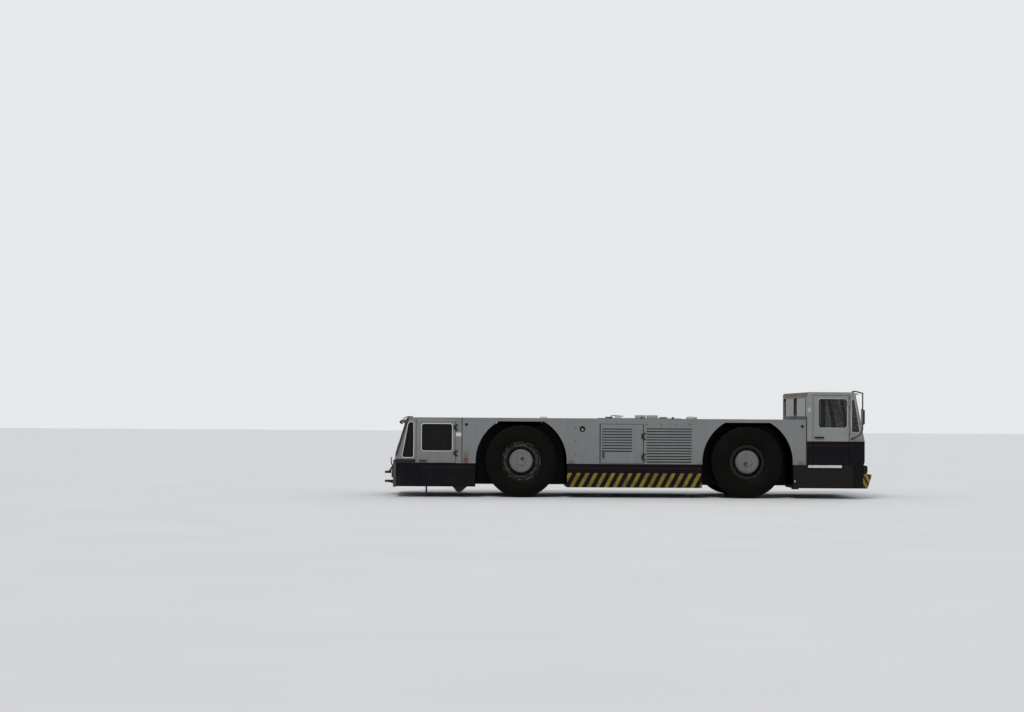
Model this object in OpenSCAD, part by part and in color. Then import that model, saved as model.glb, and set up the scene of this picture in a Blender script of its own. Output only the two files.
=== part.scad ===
// Aircraft pushback tractor: a heavy four-wheel-steered tug with a low cab at one end
// and a raised cab at the other. X runs along it towards the raised cab, Y across, Z up.
// The origin is on the ground, at the middle of the overall box.

/* [Body] */
// Width over the side plates
body_w = 3000; // [2940:10:3100]
// Height of the deck above the ground
deck_z = 1615; // [1600:5:1660]
// Height of the side plates' lower edge
belt_z = 690; // [670:5:710]
// Height of the lower edge of the sills and end boxes
sill_z = 215; // [200:5:235]
// Thickness of the side plates
plate_t = 40; // [25:1:50]
// Thickness of the deck plate
deck_t = 12; // [8:1:20]
// Depth of the sill boxes, from the outside inwards
sill_depth = 420; // [300:10:460]

/* [Frame] */
// Distance between the frame plates
frame_gap = 980; // [960:10:1060]
// Thickness of the frame plates
frame_t = 40; // [25:1:50]
// Thickness of the cross members
cross_t = 30; // [20:1:40]
// Height of the frame plates' upper edge
frame_top = 1500; // [1480:5:1520]
// Height of the frame notch over each axle
notch_z = 950; // [940:5:970]
// Half width of the frame notch over each axle
notch_half = 340; // [330:5:360]

/* [Axles and wheels] */
// Distance of the front axle ahead of the origin
front_axle_x = 2440; // [2420:5:2460]
// Distance between the axles
wheelbase = 4620; // [4600:5:4640]
// Radius of the tyre, which is also the height of the wheel's centre
tyre_r = 740; // [725:5:755]
// Width of the tyre
tyre_w = 460; // [420:5:480]
// Distance of the tyre's outer face inside the side plate's outer face
tyre_inset = 40; // [30:5:60]
// Bead radius of the rim
rim_r = 318; // [312:1:324]
// Radius of the hub drum that shows in the rim
hub_r = 228; // [215:1:235]
// Distance of the kingpin inboard of the tyre's middle
kingpin_in = 220; // [215:1:230]
// Radius of the kingpin
kingpin_r = 45; // [40:1:50]
// Radius of the wheel spindle
spindle_r = 90; // [80:1:95]
// Length of the steering arms
arm_len = 250; // [240:1:255]
// Height of the tie rod under the wheel's centre
tie_drop = 60; // [50:1:70]
// Number of tread lugs on each shoulder
lug_count = 24; // [20:1:28]

/* [Wheel arches] */
// Radius of the arch round the wheel's centre
arch_r = 927; // [915:1:940]
// Height of the arch's flat top above the wheel's centre
arch_top = 805; // [795:1:815]
// Thickness of the arch liners
liner_t = 10; // [6:1:14]

/* [Low cab] */
// Position of the low cab's rear face
low_rear_x = -3395; // [-3410:5:-3380]
// Position of the low cab's front at the belt
low_front_x = -4740; // [-4760:5:-4720]
// How far the low cab's windscreen leans back
low_lean = 240; // [200:5:280]
// Height of the foot of the windscreen
low_sill_z = 830; // [800:5:850]
// Height of the low cab's floor
low_floor_z = 415; // [400:5:430]

/* [High cab] */
// Position of the high cab's rear face
high_rear_x = 3643; // [3620:1:3660]
// Position of the high cab's front at the waist
high_front_x = 4841; // [4820:1:4860]
// How far the high cab's windscreen leans back
high_lean = 200; // [160:5:220]
// Height of the high cab's roof
roof_z = 2180; // [2160:5:2220]
// Height of the high cab's waist, where the windscreen starts to lean
waist_z = 1175; // [1150:5:1200]

/* [Cab parts] */
// Thickness of the cab walls and doors
wall_t = 45; // [35:1:50]
// Gap round a door
door_gap = 8; // [8:0.5:11]
// Thickness of the window glass
glass_t = 8; // [6:1:10]
// Corner radius of the windows
pane_r = 55; // [40:1:70]
// Radius of the door hinge barrels
barrel_r = 14; // [12:0.5:16]

/* [Towing jaws] */
// Distance from the raised cab's end wall to the towing pin's axis
jaw_reach = 122; // [118:1:130]
// Height of the lower jaw plate's underside
jaw_z = 255; // [245:5:270]
// Free height between the jaw plates
jaw_mouth = 145; // [130:5:160]
// Thickness of a jaw plate
jaw_t = 45; // [40:1:50]
// Radius of the towing pin's bore
jaw_bore_r = 26; // [24:0.5:28]

/* [Hidden] */

side_y = body_w / 2;
rear_axle_x = front_axle_x - wheelbase;
axle_z = tyre_r;
tyre_y = side_y - tyre_inset - tyre_w / 2;
kingpin_y = tyre_y - kingpin_in;
frame_in = frame_gap / 2;
frame_out = frame_in + frame_t;
arch_steps = 14;

// Seat clearance between two pieces that touch in the real one, and running clearance at a pin
seat = 0.3;
running = 0.05;
// Beyond every face that a cut passes through
past = 10;

// Frame ends, and the heights of the frame plates under each cab
frame_rear_x = low_front_x + 60;
frame_front_x = high_front_x - 85;
frame_low_z = sill_z + 25;
high_floor_z = belt_z;
floor_t = 20;

// Arch edges along the body, outside the liners
rear_arch_back = rear_axle_x - arch_r - liner_t;
rear_arch_fore = rear_axle_x + arch_r + liner_t;
front_arch_back = front_axle_x - arch_r - liner_t;
front_arch_fore = front_axle_x + arch_r + liner_t;

// The end boxes stop just short of the cabs' fronts
low_box_x = low_front_x + 20;
high_box_x = high_front_x - 35;

function unit(v) = v / norm(v);
function turned(v, a) = [v.x * cos(a) - v.y * sin(a), v.x * sin(a) + v.y * cos(a)];

// An outline with its corners rounded, each by an arc of n steps. r is one radius for all
// corners or a list with one for each, where 0 leaves the corner sharp
function rounded(pts, r, n = 5) = let(m = len(pts)) [
    for (i = [0:m - 1])
        let(p = pts[i],
            ri = is_list(r) ? r[i] : r,
            u = unit(pts[(i + m - 1) % m] - p),
            v = unit(pts[(i + 1) % m] - p),
            half = acos(u * v) / 2,
            c = p + unit(u + v) * ri / sin(half),
            from = p + u * ri / tan(half) - c,
            to = p + v * ri / tan(half) - c,
            a0 = atan2(from.y, from.x),
            sweep = ((atan2(to.y, to.x) - a0 + 540) % 360) - 180)
        for (k = [0:(ri > 0 ? n : 0)]) ri > 0 ? c + ri * [cos(a0 + sweep * k / n), sin(a0 + sweep * k / n)] : p
];

function rect(x0, z0, x1, z1) = [[x0, z0], [x1, z0], [x1, z1], [x0, z1]];

// The arch's outline in the X-Z plane: straight sides, a round top and a flat crown
function arch(ax, grow) =
    let(r = arch_r + grow, top = arch_top + grow, a = asin(top / r))
    concat(
        [[ax - r, -past]],
        [for (i = [0:arch_steps]) [ax - r * cos(a * i / arch_steps), axle_z + r * sin(a * i / arch_steps)]],
        [for (i = [arch_steps:-1:0]) [ax + r * cos(a * i / arch_steps), axle_z + r * sin(a * i / arch_steps)]],
        [[ax + r, -past]]
    );

// Draws its child's X-Z outline as a slab between two values of Y
module slab(y0, y1) {
    translate([0, y1, 0]) rotate([90, 0, 0]) linear_extrude(y1 - y0) children();
}

// A slab between two distances from the middle, on the right side (-Y)
module right_slab(near, far) {
    slab(-far, -near) children();
}

// Its children, made for the right side, on both sides
module both_sides() {
    children();
    mirror([0, 1, 0]) children();
}

module cross_rod(r, y0, y1) {
    translate([0, y0, 0]) rotate([-90, 0, 0]) cylinder(h = y1 - y0, r = r, $fn = 48);
}

module upright(r, z0, z1) {
    translate([0, 0, z0]) cylinder(h = z1 - z0, r = r, $fn = 48);
}

// A tube from point to point, with round corners
module tube(pts, r) {
    for (i = [0:len(pts) - 2])
        let(d = pts[i + 1] - pts[i], l = norm(d))
        translate(pts[i])
            rotate([0, acos(d.z / l), atan2(d.y, d.x)])
            cylinder(h = l, r = r, $fn = 24);
    for (i = [1:len(pts) - 2]) translate(pts[i]) sphere(r = r * 1.002, $fn = 24);
}

// Main frame

// Columns: position along X, lower edge, upper edge
cross_members = [
    [frame_rear_x + 60, frame_low_z, low_floor_z - floor_t],
    [low_rear_x + 40, frame_low_z, frame_top],
    [rear_axle_x - notch_half - 60, frame_low_z, frame_top],
    [rear_axle_x + notch_half + 60, frame_low_z, frame_top],
    [front_axle_x - notch_half - 60, frame_low_z, frame_top],
    [front_axle_x + notch_half + 60, frame_low_z, frame_top],
    [high_rear_x - 60, frame_low_z, frame_top],
    [frame_front_x - 60, frame_low_z, high_floor_z - floor_t]
];
shaft_hole_r = 95;

module main_frame() color("dimgray") {
    outline = [
        [frame_rear_x, frame_low_z],
        [rear_axle_x - notch_half, frame_low_z], [rear_axle_x - notch_half, notch_z],
        [rear_axle_x + notch_half, notch_z], [rear_axle_x + notch_half, frame_low_z],
        [front_axle_x - notch_half, frame_low_z], [front_axle_x - notch_half, notch_z],
        [front_axle_x + notch_half, notch_z], [front_axle_x + notch_half, frame_low_z],
        [frame_front_x, frame_low_z], [frame_front_x, high_floor_z - floor_t],
        [high_rear_x - 20, high_floor_z - floor_t], [high_rear_x - 20, frame_top],
        [low_rear_x + 20, frame_top], [low_rear_x + 20, low_floor_z - floor_t],
        [frame_rear_x, low_floor_z - floor_t]
    ];
    both_sides() right_slab(frame_in, frame_out) polygon(outline);
    difference() {
        for (c = cross_members)
            translate([c[0] - cross_t / 2, -frame_in, c[1]]) cube([cross_t, frame_gap, c[2] - c[1]]);
        for (x = [rear_axle_x + notch_half + 60, front_axle_x - notch_half - 60])
            translate([x - cross_t, 0, axle_z]) rotate([0, 90, 0])
                cylinder(h = 2 * cross_t, r = shaft_hole_r, $fn = 48);
    }
}

// Axles: a banjo housing, its tubes, seats under the frame and a yoke round each kingpin

yoke_r = 112;
yoke_t = 58;
yoke_gap = 126;
yoke_back = 95;
banjo_r = 240;
banjo_half = 150;
beam_r = 105;
nose_r = 85;
nose_len = 130;

module yoke() {
    difference() {
        union() {
            for (z = [axle_z + yoke_gap, axle_z - yoke_gap - yoke_t]) {
                translate([0, -kingpin_y, 0]) upright(yoke_r, z, z + yoke_t);
                translate([-yoke_r + 5, -kingpin_y, z])
                    cube([2 * yoke_r - 10, 125 + yoke_back, yoke_t]);
            }
            translate([-yoke_r + 5, -kingpin_y + 125, axle_z - yoke_gap - yoke_t])
                cube([2 * yoke_r - 10, yoke_back, 2 * (yoke_gap + yoke_t)]);
        }
        translate([0, -kingpin_y, 0]) upright(kingpin_r + running, 0, 2 * axle_z);
    }
}

// toward is the direction of the propeller shaft, +1 or -1 along X
module axle(ax, toward) translate([ax, 0, 0]) {
    translate([-banjo_half, 0, axle_z]) rotate([0, 90, 0])
        cylinder(h = 2 * banjo_half, r = banjo_r, $fn = 64);
    translate([toward * (banjo_half - 5), 0, axle_z]) rotate([0, toward * 90, 0])
        cylinder(h = nose_len + 5, r1 = nose_r + 35, r2 = nose_r, $fn = 48);
    translate([0, 0, axle_z]) cross_rod(beam_r, -kingpin_y + 150, kingpin_y - 150);
    both_sides() {
        yoke();
        translate([-150, -frame_out - 30, axle_z]) cube([300, frame_t + 60, notch_z - axle_z]);
    }
}

module axles() color("dimgray") {
    axle(front_axle_x, -1);
    axle(rear_axle_x, 1);
}

// Engine, one plain block, with its feet on the frame plates

engine_x0 = -520;
engine_x1 = 1180;
engine_half = 400;
engine_z0 = 560;
engine_z1 = 1440;
foot = 120;

module engine() color("gray") {
    translate([engine_x0, -engine_half, engine_z0])
        cube([engine_x1 - engine_x0, 2 * engine_half, engine_z1 - engine_z0]);
    for (x = [engine_x0 + 120, engine_x1 - 120 - foot])
        translate([x, -frame_in + seat, engine_z0 + 180]) cube([foot, 2 * (frame_in - seat), 60]);
}

shaft_r = 55;

module prop_shafts() color("gray") for (s = [-1, 1]) {
    start = s > 0 ? engine_x1 + seat : engine_x0 - seat;
    stop = s > 0 ? front_axle_x - banjo_half - nose_len - seat : rear_axle_x + banjo_half + nose_len + seat;
    translate([min(start, stop), 0, axle_z]) rotate([0, 90, 0]) {
        cylinder(h = abs(stop - start), r = shaft_r, $fn = 32);
        for (x = [0, abs(stop - start) - 24]) translate([0, 0, x]) cylinder(h = 24, r = nose_r - 3, $fn = 32);
    }
}

// Knuckles: kingpin, hub carrier, spindle, brake back plate and steering arm

carrier_r = 104;
backplate_r = 205;
backplate_t = 28;
backplate_out = 128;
arm_t = 40;
arm_r = 42;
pin_r = 20;
spindle_end = tyre_w / 2 + kingpin_in - 90;

// side is -1 on the right and +1 on the left, toward is where the steering arm points along X
module knuckle(ax, side, toward) color("gray") translate([ax, side * kingpin_y, 0]) {
    upright(kingpin_r, axle_z - yoke_gap - yoke_t, axle_z + yoke_gap + yoke_t);
    upright(carrier_r, axle_z - yoke_gap + 6, axle_z + yoke_gap - 6);
    translate([0, 0, axle_z]) rotate([-side * 90, 0, 0]) {
        cylinder(h = spindle_end, r = spindle_r, $fn = 48);
        translate([0, 0, backplate_out]) cylinder(h = backplate_t, r = backplate_r, $fn = 64);
    }
    difference() {
        union() {
            translate([toward < 0 ? -arm_len : 0, -arm_r, axle_z - tie_drop - arm_t / 2])
                cube([arm_len, 2 * arm_r, arm_t]);
            translate([toward * arm_len, 0, 0])
                upright(arm_r, axle_z - tie_drop - arm_t / 2, axle_z - tie_drop + arm_t / 2);
        }
        translate([toward * arm_len, 0, 0]) upright(pin_r + running, 0, axle_z);
    }
}

// Tie rods: a tube with a forked eye and a pin at each end

rod_r = 28;
eye_gap = arm_t / 2 + 6;
eye_t = 18;
fork_back = 98;

module tie_rod(ax, toward) color("gray") translate([ax + toward * arm_len, 0, 0]) {
    translate([0, 0, axle_z - tie_drop]) cross_rod(rod_r, -kingpin_y + fork_back, kingpin_y - fork_back);
    both_sides() {
        for (z = [axle_z - tie_drop + eye_gap, axle_z - tie_drop - eye_gap - eye_t]) {
            translate([0, -kingpin_y, 0]) upright(arm_r - 4, z, z + eye_t);
            translate([-30, -kingpin_y, z]) cube([60, fork_back + 20, eye_t]);
        }
        translate([-30, -kingpin_y + fork_back - 20, axle_z - tie_drop - eye_gap - eye_t])
            cube([60, 40, 2 * (eye_gap + eye_t)]);
        translate([0, -kingpin_y, 0])
            upright(pin_r, axle_z - tie_drop - eye_gap - eye_t - 12, axle_z - tie_drop + eye_gap + eye_t + 12);
    }
}

// Wheels, made for the right side with the outer face towards -Y, centred on the origin

flange_r = rim_r + 38;
lug_depth = 26;
lug_len = 95;
lug_gap = 34;

rim_half = tyre_w * 0.37;
bead_half = rim_half - 20;

// One side of the tyre's section, from the bead out to the tread. Columns: radius, half width
tyre_side = [
    [rim_r + 1 + seat, bead_half - seat],
    [flange_r + 1, bead_half + 3],
    [flange_r + 14, tyre_w * 0.41],
    [tyre_r * 0.62, tyre_w * 0.47],
    [tyre_r * 0.74, tyre_w * 0.5],
    [tyre_r * 0.87, tyre_w * 0.485],
    [tyre_r - 22, tyre_w * 0.46],
    [tyre_r - 4, tyre_w * 0.42],
    [tyre_r, tyre_w * 0.34]
];

module tyre_body() rotate([90, 0, 0]) difference() {
    rotate_extrude($fn = 128) polygon(concat(
        [for (p = tyre_side) [p[0], -p[1]]],
        [for (i = [len(tyre_side) - 1:-1:0]) tyre_side[i]]
    ));
    for (i = [0:lug_count - 1], s = [-1, 1])
        rotate([0, 0, (i + (s > 0 ? 0.5 : 0)) * 360 / lug_count])
            translate([tyre_r - lug_depth, -lug_gap / 2, s > 0 ? tyre_w / 2 - lug_len : -tyre_w / 2 - past])
            cube([lug_depth + past, lug_gap, lug_len + past]);
}

disc_y = -kingpin_in + backplate_out + backplate_t + 12;
hub_out = tyre_w / 2 - 4;

// The Y values of the profile run outwards from the tyre's middle
module rim_body() rotate([90, 0, 0]) difference() {
    union() {
        rotate_extrude($fn = 96) polygon([
            [rim_r - 22, -rim_half], [flange_r, -rim_half], [flange_r, -rim_half + 16],
            [rim_r + 1, -bead_half], [rim_r - 4, -rim_half + 60], [rim_r - 4, rim_half - 60],
            [rim_r + 1, bead_half], [flange_r, rim_half - 16], [flange_r, rim_half],
            [rim_r - 22, rim_half]
        ]);
        translate([0, 0, disc_y]) cylinder(h = 26, r = rim_r - 12, $fn = 96);
        rotate_extrude($fn = 96) polygon([
            [0, disc_y], [hub_r + 8, disc_y], [hub_r + 8, hub_out - 46], [hub_r, hub_out - 40],
            [hub_r, hub_out - 12], [hub_r - 14, hub_out], [95, hub_out], [88, hub_out + 14], [0, hub_out + 14]
        ]);
    }
    translate([0, 0, disc_y - past])
        cylinder(h = spindle_end - kingpin_in - disc_y + past + 6, r = spindle_r + running, $fn = 48);
    for (i = [0:9]) rotate([0, 0, i * 36]) translate([hub_r + 42, 0, disc_y - past])
        cylinder(h = 26 + 2 * past, r = 14, $fn = 24);
}

module at_wheel(ax, side) {
    translate([ax, side * tyre_y, axle_z]) mirror([0, side > 0 ? 1 : 0, 0]) children();
}
module tyre(ax, side) color("#1c1c1c") at_wheel(ax, side) tyre_body();
module rim(ax, side) color("silver") at_wheel(ax, side) rim_body();

// Door hinges: a barrel on the door turns on a pin between two ears on the body.
// x is the edge of the opening, z the middle of the barrel

hinge_pin_r = 6;
hinge_out = barrel_r + 2;
leaf_len = 44;
leaf_t = 10;
ear_h = 26;
hinge_slack = 1;

module hinge_ring(x, z, h) {
    translate([x, -side_y - hinge_out, 0]) upright(barrel_r, z - h / 2, z + h / 2);
}

// dir is the way from the axis to the piece that the leaf sits on
module hinge_leaf(x, z, h, dir) {
    right_slab(side_y - 4, side_y + leaf_t)
        polygon(rect(min(x + dir * leaf_len, x + dir * 12), z - h / 2, max(x + dir * leaf_len, x + dir * 12), z + h / 2));
    right_slab(side_y + 3, side_y + leaf_t + 3)
        polygon(rect(min(x, x + dir * 14), z - h / 2, max(x, x + dir * 14), z + h / 2));
}

module hinge_post(x, z, h) {
    for (s = [-1, 1]) {
        hinge_ring(x, z + s * (h / 2 + hinge_slack + ear_h / 2), ear_h);
        hinge_leaf(x, z + s * (h / 2 + hinge_slack + ear_h / 2), ear_h, 1);
    }
    translate([x, -side_y - hinge_out, 0])
        upright(hinge_pin_r, z - h / 2 - ear_h + 2, z + h / 2 + ear_h - 2);
}

module hinge_barrel(x, z, h) difference() {
    union() {
        hinge_ring(x, z, h);
        hinge_leaf(x, z, h, -1);
    }
    translate([x, -side_y - hinge_out, 0]) upright(hinge_pin_r + running, z - h, z + h);
}

// Bodywork between the cabs

// Louvres: their pitch, the height of a slot, and the screen behind them
louvre_pitch = 56;
louvre_slot = 24;
screen_t = 4;

function louvre_height(slots) = slots * louvre_pitch - (louvre_pitch - louvre_slot);

// Service door and grille openings in the side plates
service_x0 = -577;
service_x1 = 310;
service_z0 = belt_z + 12;
service_z1 = 1505;
grille_slots = 13;
grille_rim = 14;
grille_x0 = 357;
grille_x1 = 1307;
grille_z0 = belt_z + 18;
grille_z1 = grille_z0 + louvre_height(grille_slots) + 2 * grille_rim;
filler_x = -936;
filler_z = 1397;
filler_r = 62;
vent_r = 32;
vent_z = 1475;
recess_depth = 26;
service_barrels = [service_z0 + 130, service_z1 - 250];
service_barrel_h = 90;
vents_x = [low_rear_x + 98, high_rear_x - 84];

module side_plates() color("lightsteelblue") both_sides() {
    difference() {
        right_slab(side_y - plate_t, side_y) difference() {
            polygon(rect(low_rear_x, belt_z, high_rear_x, deck_z));
            polygon(arch(rear_axle_x, 0));
            polygon(arch(front_axle_x, 0));
            polygon(rect(service_x0, service_z0, service_x1, service_z1));
            polygon(rect(grille_x0, grille_z0, grille_x1, grille_z1));
        }
        translate([filler_x, 0, filler_z]) cross_rod(filler_r, -side_y - past, -side_y + recess_depth);
        for (x = vents_x) translate([x, 0, vent_z]) cross_rod(vent_r, -side_y - past, -side_y + recess_depth);
    }
    for (z = service_barrels) hinge_post(service_x1, z, service_barrel_h);
}

module wheel_arches() color("black") both_sides() for (ax = [rear_axle_x, front_axle_x])
    right_slab(frame_out, side_y - plate_t) difference() {
        polygon(arch(ax, liner_t));
        polygon(arch(ax, 0));
        translate([ax - 2 * arch_r, -2 * past]) square([4 * arch_r, sill_z + 2 * past]);
    }

hatch_x0 = -480;
hatch_x1 = 1180;
hatch_half = 620;
lip = 45;

module deck() color("lightsteelblue") {
    difference() {
        translate([low_rear_x, -side_y + plate_t, deck_z - deck_t])
            cube([high_rear_x - low_rear_x, body_w - 2 * plate_t, deck_t]);
        translate([hatch_x0 + lip, -hatch_half + lip, deck_z - deck_t - past])
            cube([hatch_x1 - hatch_x0 - 2 * lip, 2 * (hatch_half - lip), deck_t + 2 * past]);
    }
    for (c = cross_members) if (c[2] == frame_top)
        translate([c[0] - cross_t / 2, -side_y + plate_t, max(frame_top, axle_z + arch_top + liner_t)])
            cube([cross_t, body_w - 2 * plate_t, deck_z - deck_t - max(frame_top, axle_z + arch_top + liner_t)]);
    for (x = hatch_hinges) {
        for (s = [-1, 1]) translate([x + s * 72 - 10, hatch_half + 6, deck_z - deck_t])
            cube([20, 2 * barrel_r - 6, hatch_hinge_z + barrel_r - deck_z + deck_t]);
        translate([x - 82, hatch_hinge_y, hatch_hinge_z]) rotate([0, 90, 0])
            cylinder(h = 164, r = hatch_pin_r, $fn = 24);
    }
}

lid_t = 10;
hatch_hinge_y = hatch_half + 12;
hatch_hinge_z = deck_z + seat + lid_t + barrel_r;
hatch_hinges = [hatch_x0 + 250, hatch_x1 - 250];
hatch_pin_r = 6;

hood_y = -150;
hoods_x = [hatch_x0 + 747, hatch_x0 + 997];
hood = [206, 326, 62];
hood_wall = 13;

module engine_hatch() color("lightsteelblue") {
    difference() {
        translate([hatch_x0, -hatch_half, deck_z + seat]) cube([hatch_x1 - hatch_x0, 2 * hatch_half, lid_t]);
        for (x = hoods_x) translate([x + hood_wall, hood_y - hood.y / 2 + hood_wall, deck_z - past])
            cube([hood.x - 2 * hood_wall, hood.y - 2 * hood_wall, lid_t + 2 * past]);
    }
    for (x = hoods_x) translate([x, hood_y - hood.y / 2, deck_z + seat + lid_t]) difference() {
        cube(hood);
        translate([hood_wall, hood_wall, -past])
            cube([hood.x - 2 * hood_wall, hood.y - 2 * hood_wall, hood.z + past - hood_wall]);
        for (i = [0:3]) translate([-past, 40 + i * 66, 18]) cube([hood.x + 2 * past, 44, 22]);
    }
    for (x = hatch_hinges) difference() {
        union() {
            translate([x - 60, hatch_hinge_y - 42, deck_z + seat + lid_t]) cube([120, 42, 6]);
            translate([x - 60, hatch_hinge_y, hatch_hinge_z]) rotate([0, 90, 0])
                cylinder(h = 120, r = barrel_r, $fn = 32);
        }
        translate([x - 60 - past, hatch_hinge_y, hatch_hinge_z]) rotate([0, 90, 0])
            cylinder(h = 120 + 2 * past, r = hatch_pin_r + running, $fn = 24);
    }
    grab(hatch_x0 + 175, -hatch_half + 60, deck_z + seat + lid_t);
}

// A grab handle of round bar, standing on a flat top
grab_len = 190;
grab_h = 52;
module grab(x, y, z) {
    tube([[x, y, z - 2], [x + 40, y, z + grab_h], [x + grab_len, y, z + grab_h], [x + grab_len, y, z - 2]], 9);
}

skirt_top = 505;
skirt_t = 8;

module sills() color("midnightblue") both_sides() {
    right_slab(side_y - sill_depth, side_y - skirt_t)
        polygon(rect(rear_arch_fore, sill_z, front_arch_back, belt_z));
    right_slab(side_y - skirt_t, side_y)
        polygon(rect(rear_arch_fore, sill_z - 5, front_arch_back, skirt_top));
}

// Louvres fill an opening that starts at x0 and z0 and is x1 - x0 wide: slots with blades
// between them. A blade's face is level with the panel, and behind it the blade slopes up
// and in, which hides the slot above it. A screen closes the back
module louvres(x0, x1, z0, slots, depth, bury) {
    face = louvre_pitch - louvre_slot;
    for (i = [0:slots - 2])
        translate([x0 - bury, -side_y + 3, z0 + louvre_slot + i * louvre_pitch])
            rotate([90, 0, 90])
            linear_extrude(x1 - x0 + 2 * bury)
            polygon([[0, 0], [0, face], [depth - 3, face + louvre_slot * 0.8], [depth - 3, louvre_slot * 0.8]]);
    right_slab(side_y - depth - screen_t, side_y - depth)
        polygon(rect(x0 - bury, z0 - bury, x1 + bury, z0 + louvre_height(slots) + bury));
}

module grilles() color("gray") both_sides() {
    right_slab(side_y - plate_t, side_y) difference() {
        polygon(rect(grille_x0 + seat, grille_z0 + seat, grille_x1 - seat, grille_z1 - seat));
        polygon(rect(grille_x0 + grille_rim, grille_z0 + grille_rim, grille_x1 - grille_rim, grille_z1 - grille_rim));
    }
    louvres(grille_x0 + grille_rim, grille_x1 - grille_rim, grille_z0 + grille_rim, grille_slots,
        plate_t - screen_t - 2, 6);
}

// Service doors, hinged at the front edge on barrels with fixed pins

louvre_x0 = -539;
louvre_x1 = 76;
louvre_z0 = belt_z + 248;
louvre_slots = 9;
service_t = plate_t - 6;

module service_door() {
    right_slab(side_y - service_t, side_y) difference() {
        polygon(rect(service_x0 + door_gap, service_z0 + door_gap, service_x1 - door_gap, service_z1 - door_gap));
        polygon(rect(louvre_x0, louvre_z0, louvre_x1, louvre_z0 + louvre_height(louvre_slots)));
    }
    louvres(louvre_x0, louvre_x1, louvre_z0, louvre_slots, service_t - screen_t, 6);
    door_pull(service_x0 + 50, service_z0 + 110, 26, 120);
    for (z = service_barrels) hinge_barrel(service_x1, z, service_barrel_h);
}
module service_door_right() color("lightsteelblue") service_door();
module service_door_left() color("lightsteelblue") mirror([0, 1, 0]) service_door();

// A pull handle on a door's face, w wide and h high, open behind
pull_out = 30;
module door_pull(x, z, w, h) difference() {
    right_slab(side_y - 4, side_y + pull_out) polygon(rect(x, z, x + w, z + h));
    if (w > h) right_slab(side_y, side_y + pull_out - 12) polygon(rect(x + 14, z - past, x + w - 14, z + h + past));
    if (h > w) right_slab(side_y, side_y + pull_out - 12) polygon(rect(x - past, z + 14, x + w + past, z + h - 14));
}

// Small fittings on the deck and the side plates: an air cap, a deck cover, the fillers' caps
air_cap = [1408, -500];
air_cap_r = 112;
deck_cover = [-1763, -700];

module fittings() color("gainsboro") {
    translate([air_cap.x, air_cap.y, deck_z]) {
        cylinder(h = 40, r = air_cap_r, $fn = 48);
        translate([0, 0, 40]) cylinder(h = 24, r1 = air_cap_r - 8, r2 = air_cap_r - 72, $fn = 48);
    }
    translate([deck_cover.x, deck_cover.y, deck_z]) cube([143, 200, 28]);
    both_sides() translate([filler_x, 0, filler_z]) cross_rod(26, -side_y + 6, -side_y + recess_depth);
    translate([low_rear_x - 725, -side_y + base_in + 8, strap_end]) cube([36, 6, sill_z - strap_end - seat]);
}

// The earthing strap hangs from the low cab's skirt to just above the ground
strap_end = 30;

// Cabs

inset_eps = 1;

// A convex outline moved inwards by t
function inset(pts, t) = let(m = len(pts)) [
    for (i = [0:m - 1])
        let(p = pts[i], u = unit(pts[(i + m - 1) % m] - p), v = unit(pts[(i + 1) % m] - p))
        p + unit(u + v) * t / sin(acos(u * v) / 2)
];

// The same outline with its lowest points moved down to z
function opened(pts, low, z) = [for (p = pts) p.y < low ? [p.x, z] : p];

low_outline = [
    [low_front_x, belt_z], [low_rear_x, belt_z], [low_rear_x, deck_z],
    [low_front_x + low_lean, deck_z], [low_front_x, low_sill_z]
];
low_corners = [0, 0, 0, 45, 30];
high_outline = [
    [high_rear_x, belt_z], [high_front_x - 20, belt_z], [high_front_x, belt_z + 70],
    [high_front_x, waist_z], [high_front_x - high_lean, roof_z], [high_rear_x, roof_z]
];
high_corners = [0, 0, 30, 40, 60, 40];

// Door openings. They run down past the shell's lower edge
low_door_x0 = low_front_x + 420;
low_door_x1 = low_rear_x - 118;
low_door_top = deck_z - 55;
high_door_x0 = high_rear_x + 131;
high_door_x1 = high_front_x - 321;
high_door_top = roof_z - 60;

// Windows: outlines in the X-Z plane
low_door_pane = rect(low_door_x0 + 107, belt_z + 240, low_door_x1 - 63, low_door_top - 65);
high_door_pane = rect(high_door_x0 + 106, waist_z + 273, high_door_x1 - 38, high_door_top - 72);
low_quarter = [
    [low_front_x + 125, belt_z + 105], [low_door_x0 - 40, belt_z + 105],
    [low_door_x0 - 40, deck_z - 85], [low_front_x + 262, deck_z - 85]
];
high_quarter = [
    [high_door_x1 + 50, waist_z + 185], [high_front_x - 98, waist_z + 185],
    [high_front_x - 214, roof_z - 134], [high_door_x1 + 50, roof_z - 134]
];

// Windscreens and rear window: outlines in the Y-Z plane, one pane on each side of the middle
post_half = 35;
low_screen = rect(post_half, low_sill_z + 40, side_y - 110, deck_z - 85);
high_screen = rect(post_half, waist_z + 50, side_y - 110, roof_z - 110);
rear_screen = rect(post_half, deck_z + 60, side_y - 110, roof_z - 110);

// Draws its child's Y-Z outline as a slab between two values of X
module fore_slab(x0, x1) {
    translate([x0, 0, 0]) rotate([90, 0, 90]) linear_extrude(x1 - x0) children();
}

module low_cab_shell() color("lightsteelblue") {
    difference() {
        slab(-side_y, side_y) polygon(rounded(low_outline, low_corners));
        slab(-side_y + wall_t, side_y - wall_t)
            polygon(opened(inset(low_outline, wall_t), belt_z + wall_t + inset_eps, belt_z - past));
        both_sides() {
            right_slab(side_y - wall_t - past, side_y + past) {
                polygon(rect(low_door_x0, belt_z - past, low_door_x1, low_door_top));
                polygon(rounded(low_quarter, pane_r));
            }
            fore_slab(low_front_x - past, low_front_x + low_lean + wall_t + past) polygon(rounded(low_screen, pane_r));
        }
    }
    both_sides() for (z = low_barrels) hinge_post(low_door_x1, z, barrel_h);
}

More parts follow.
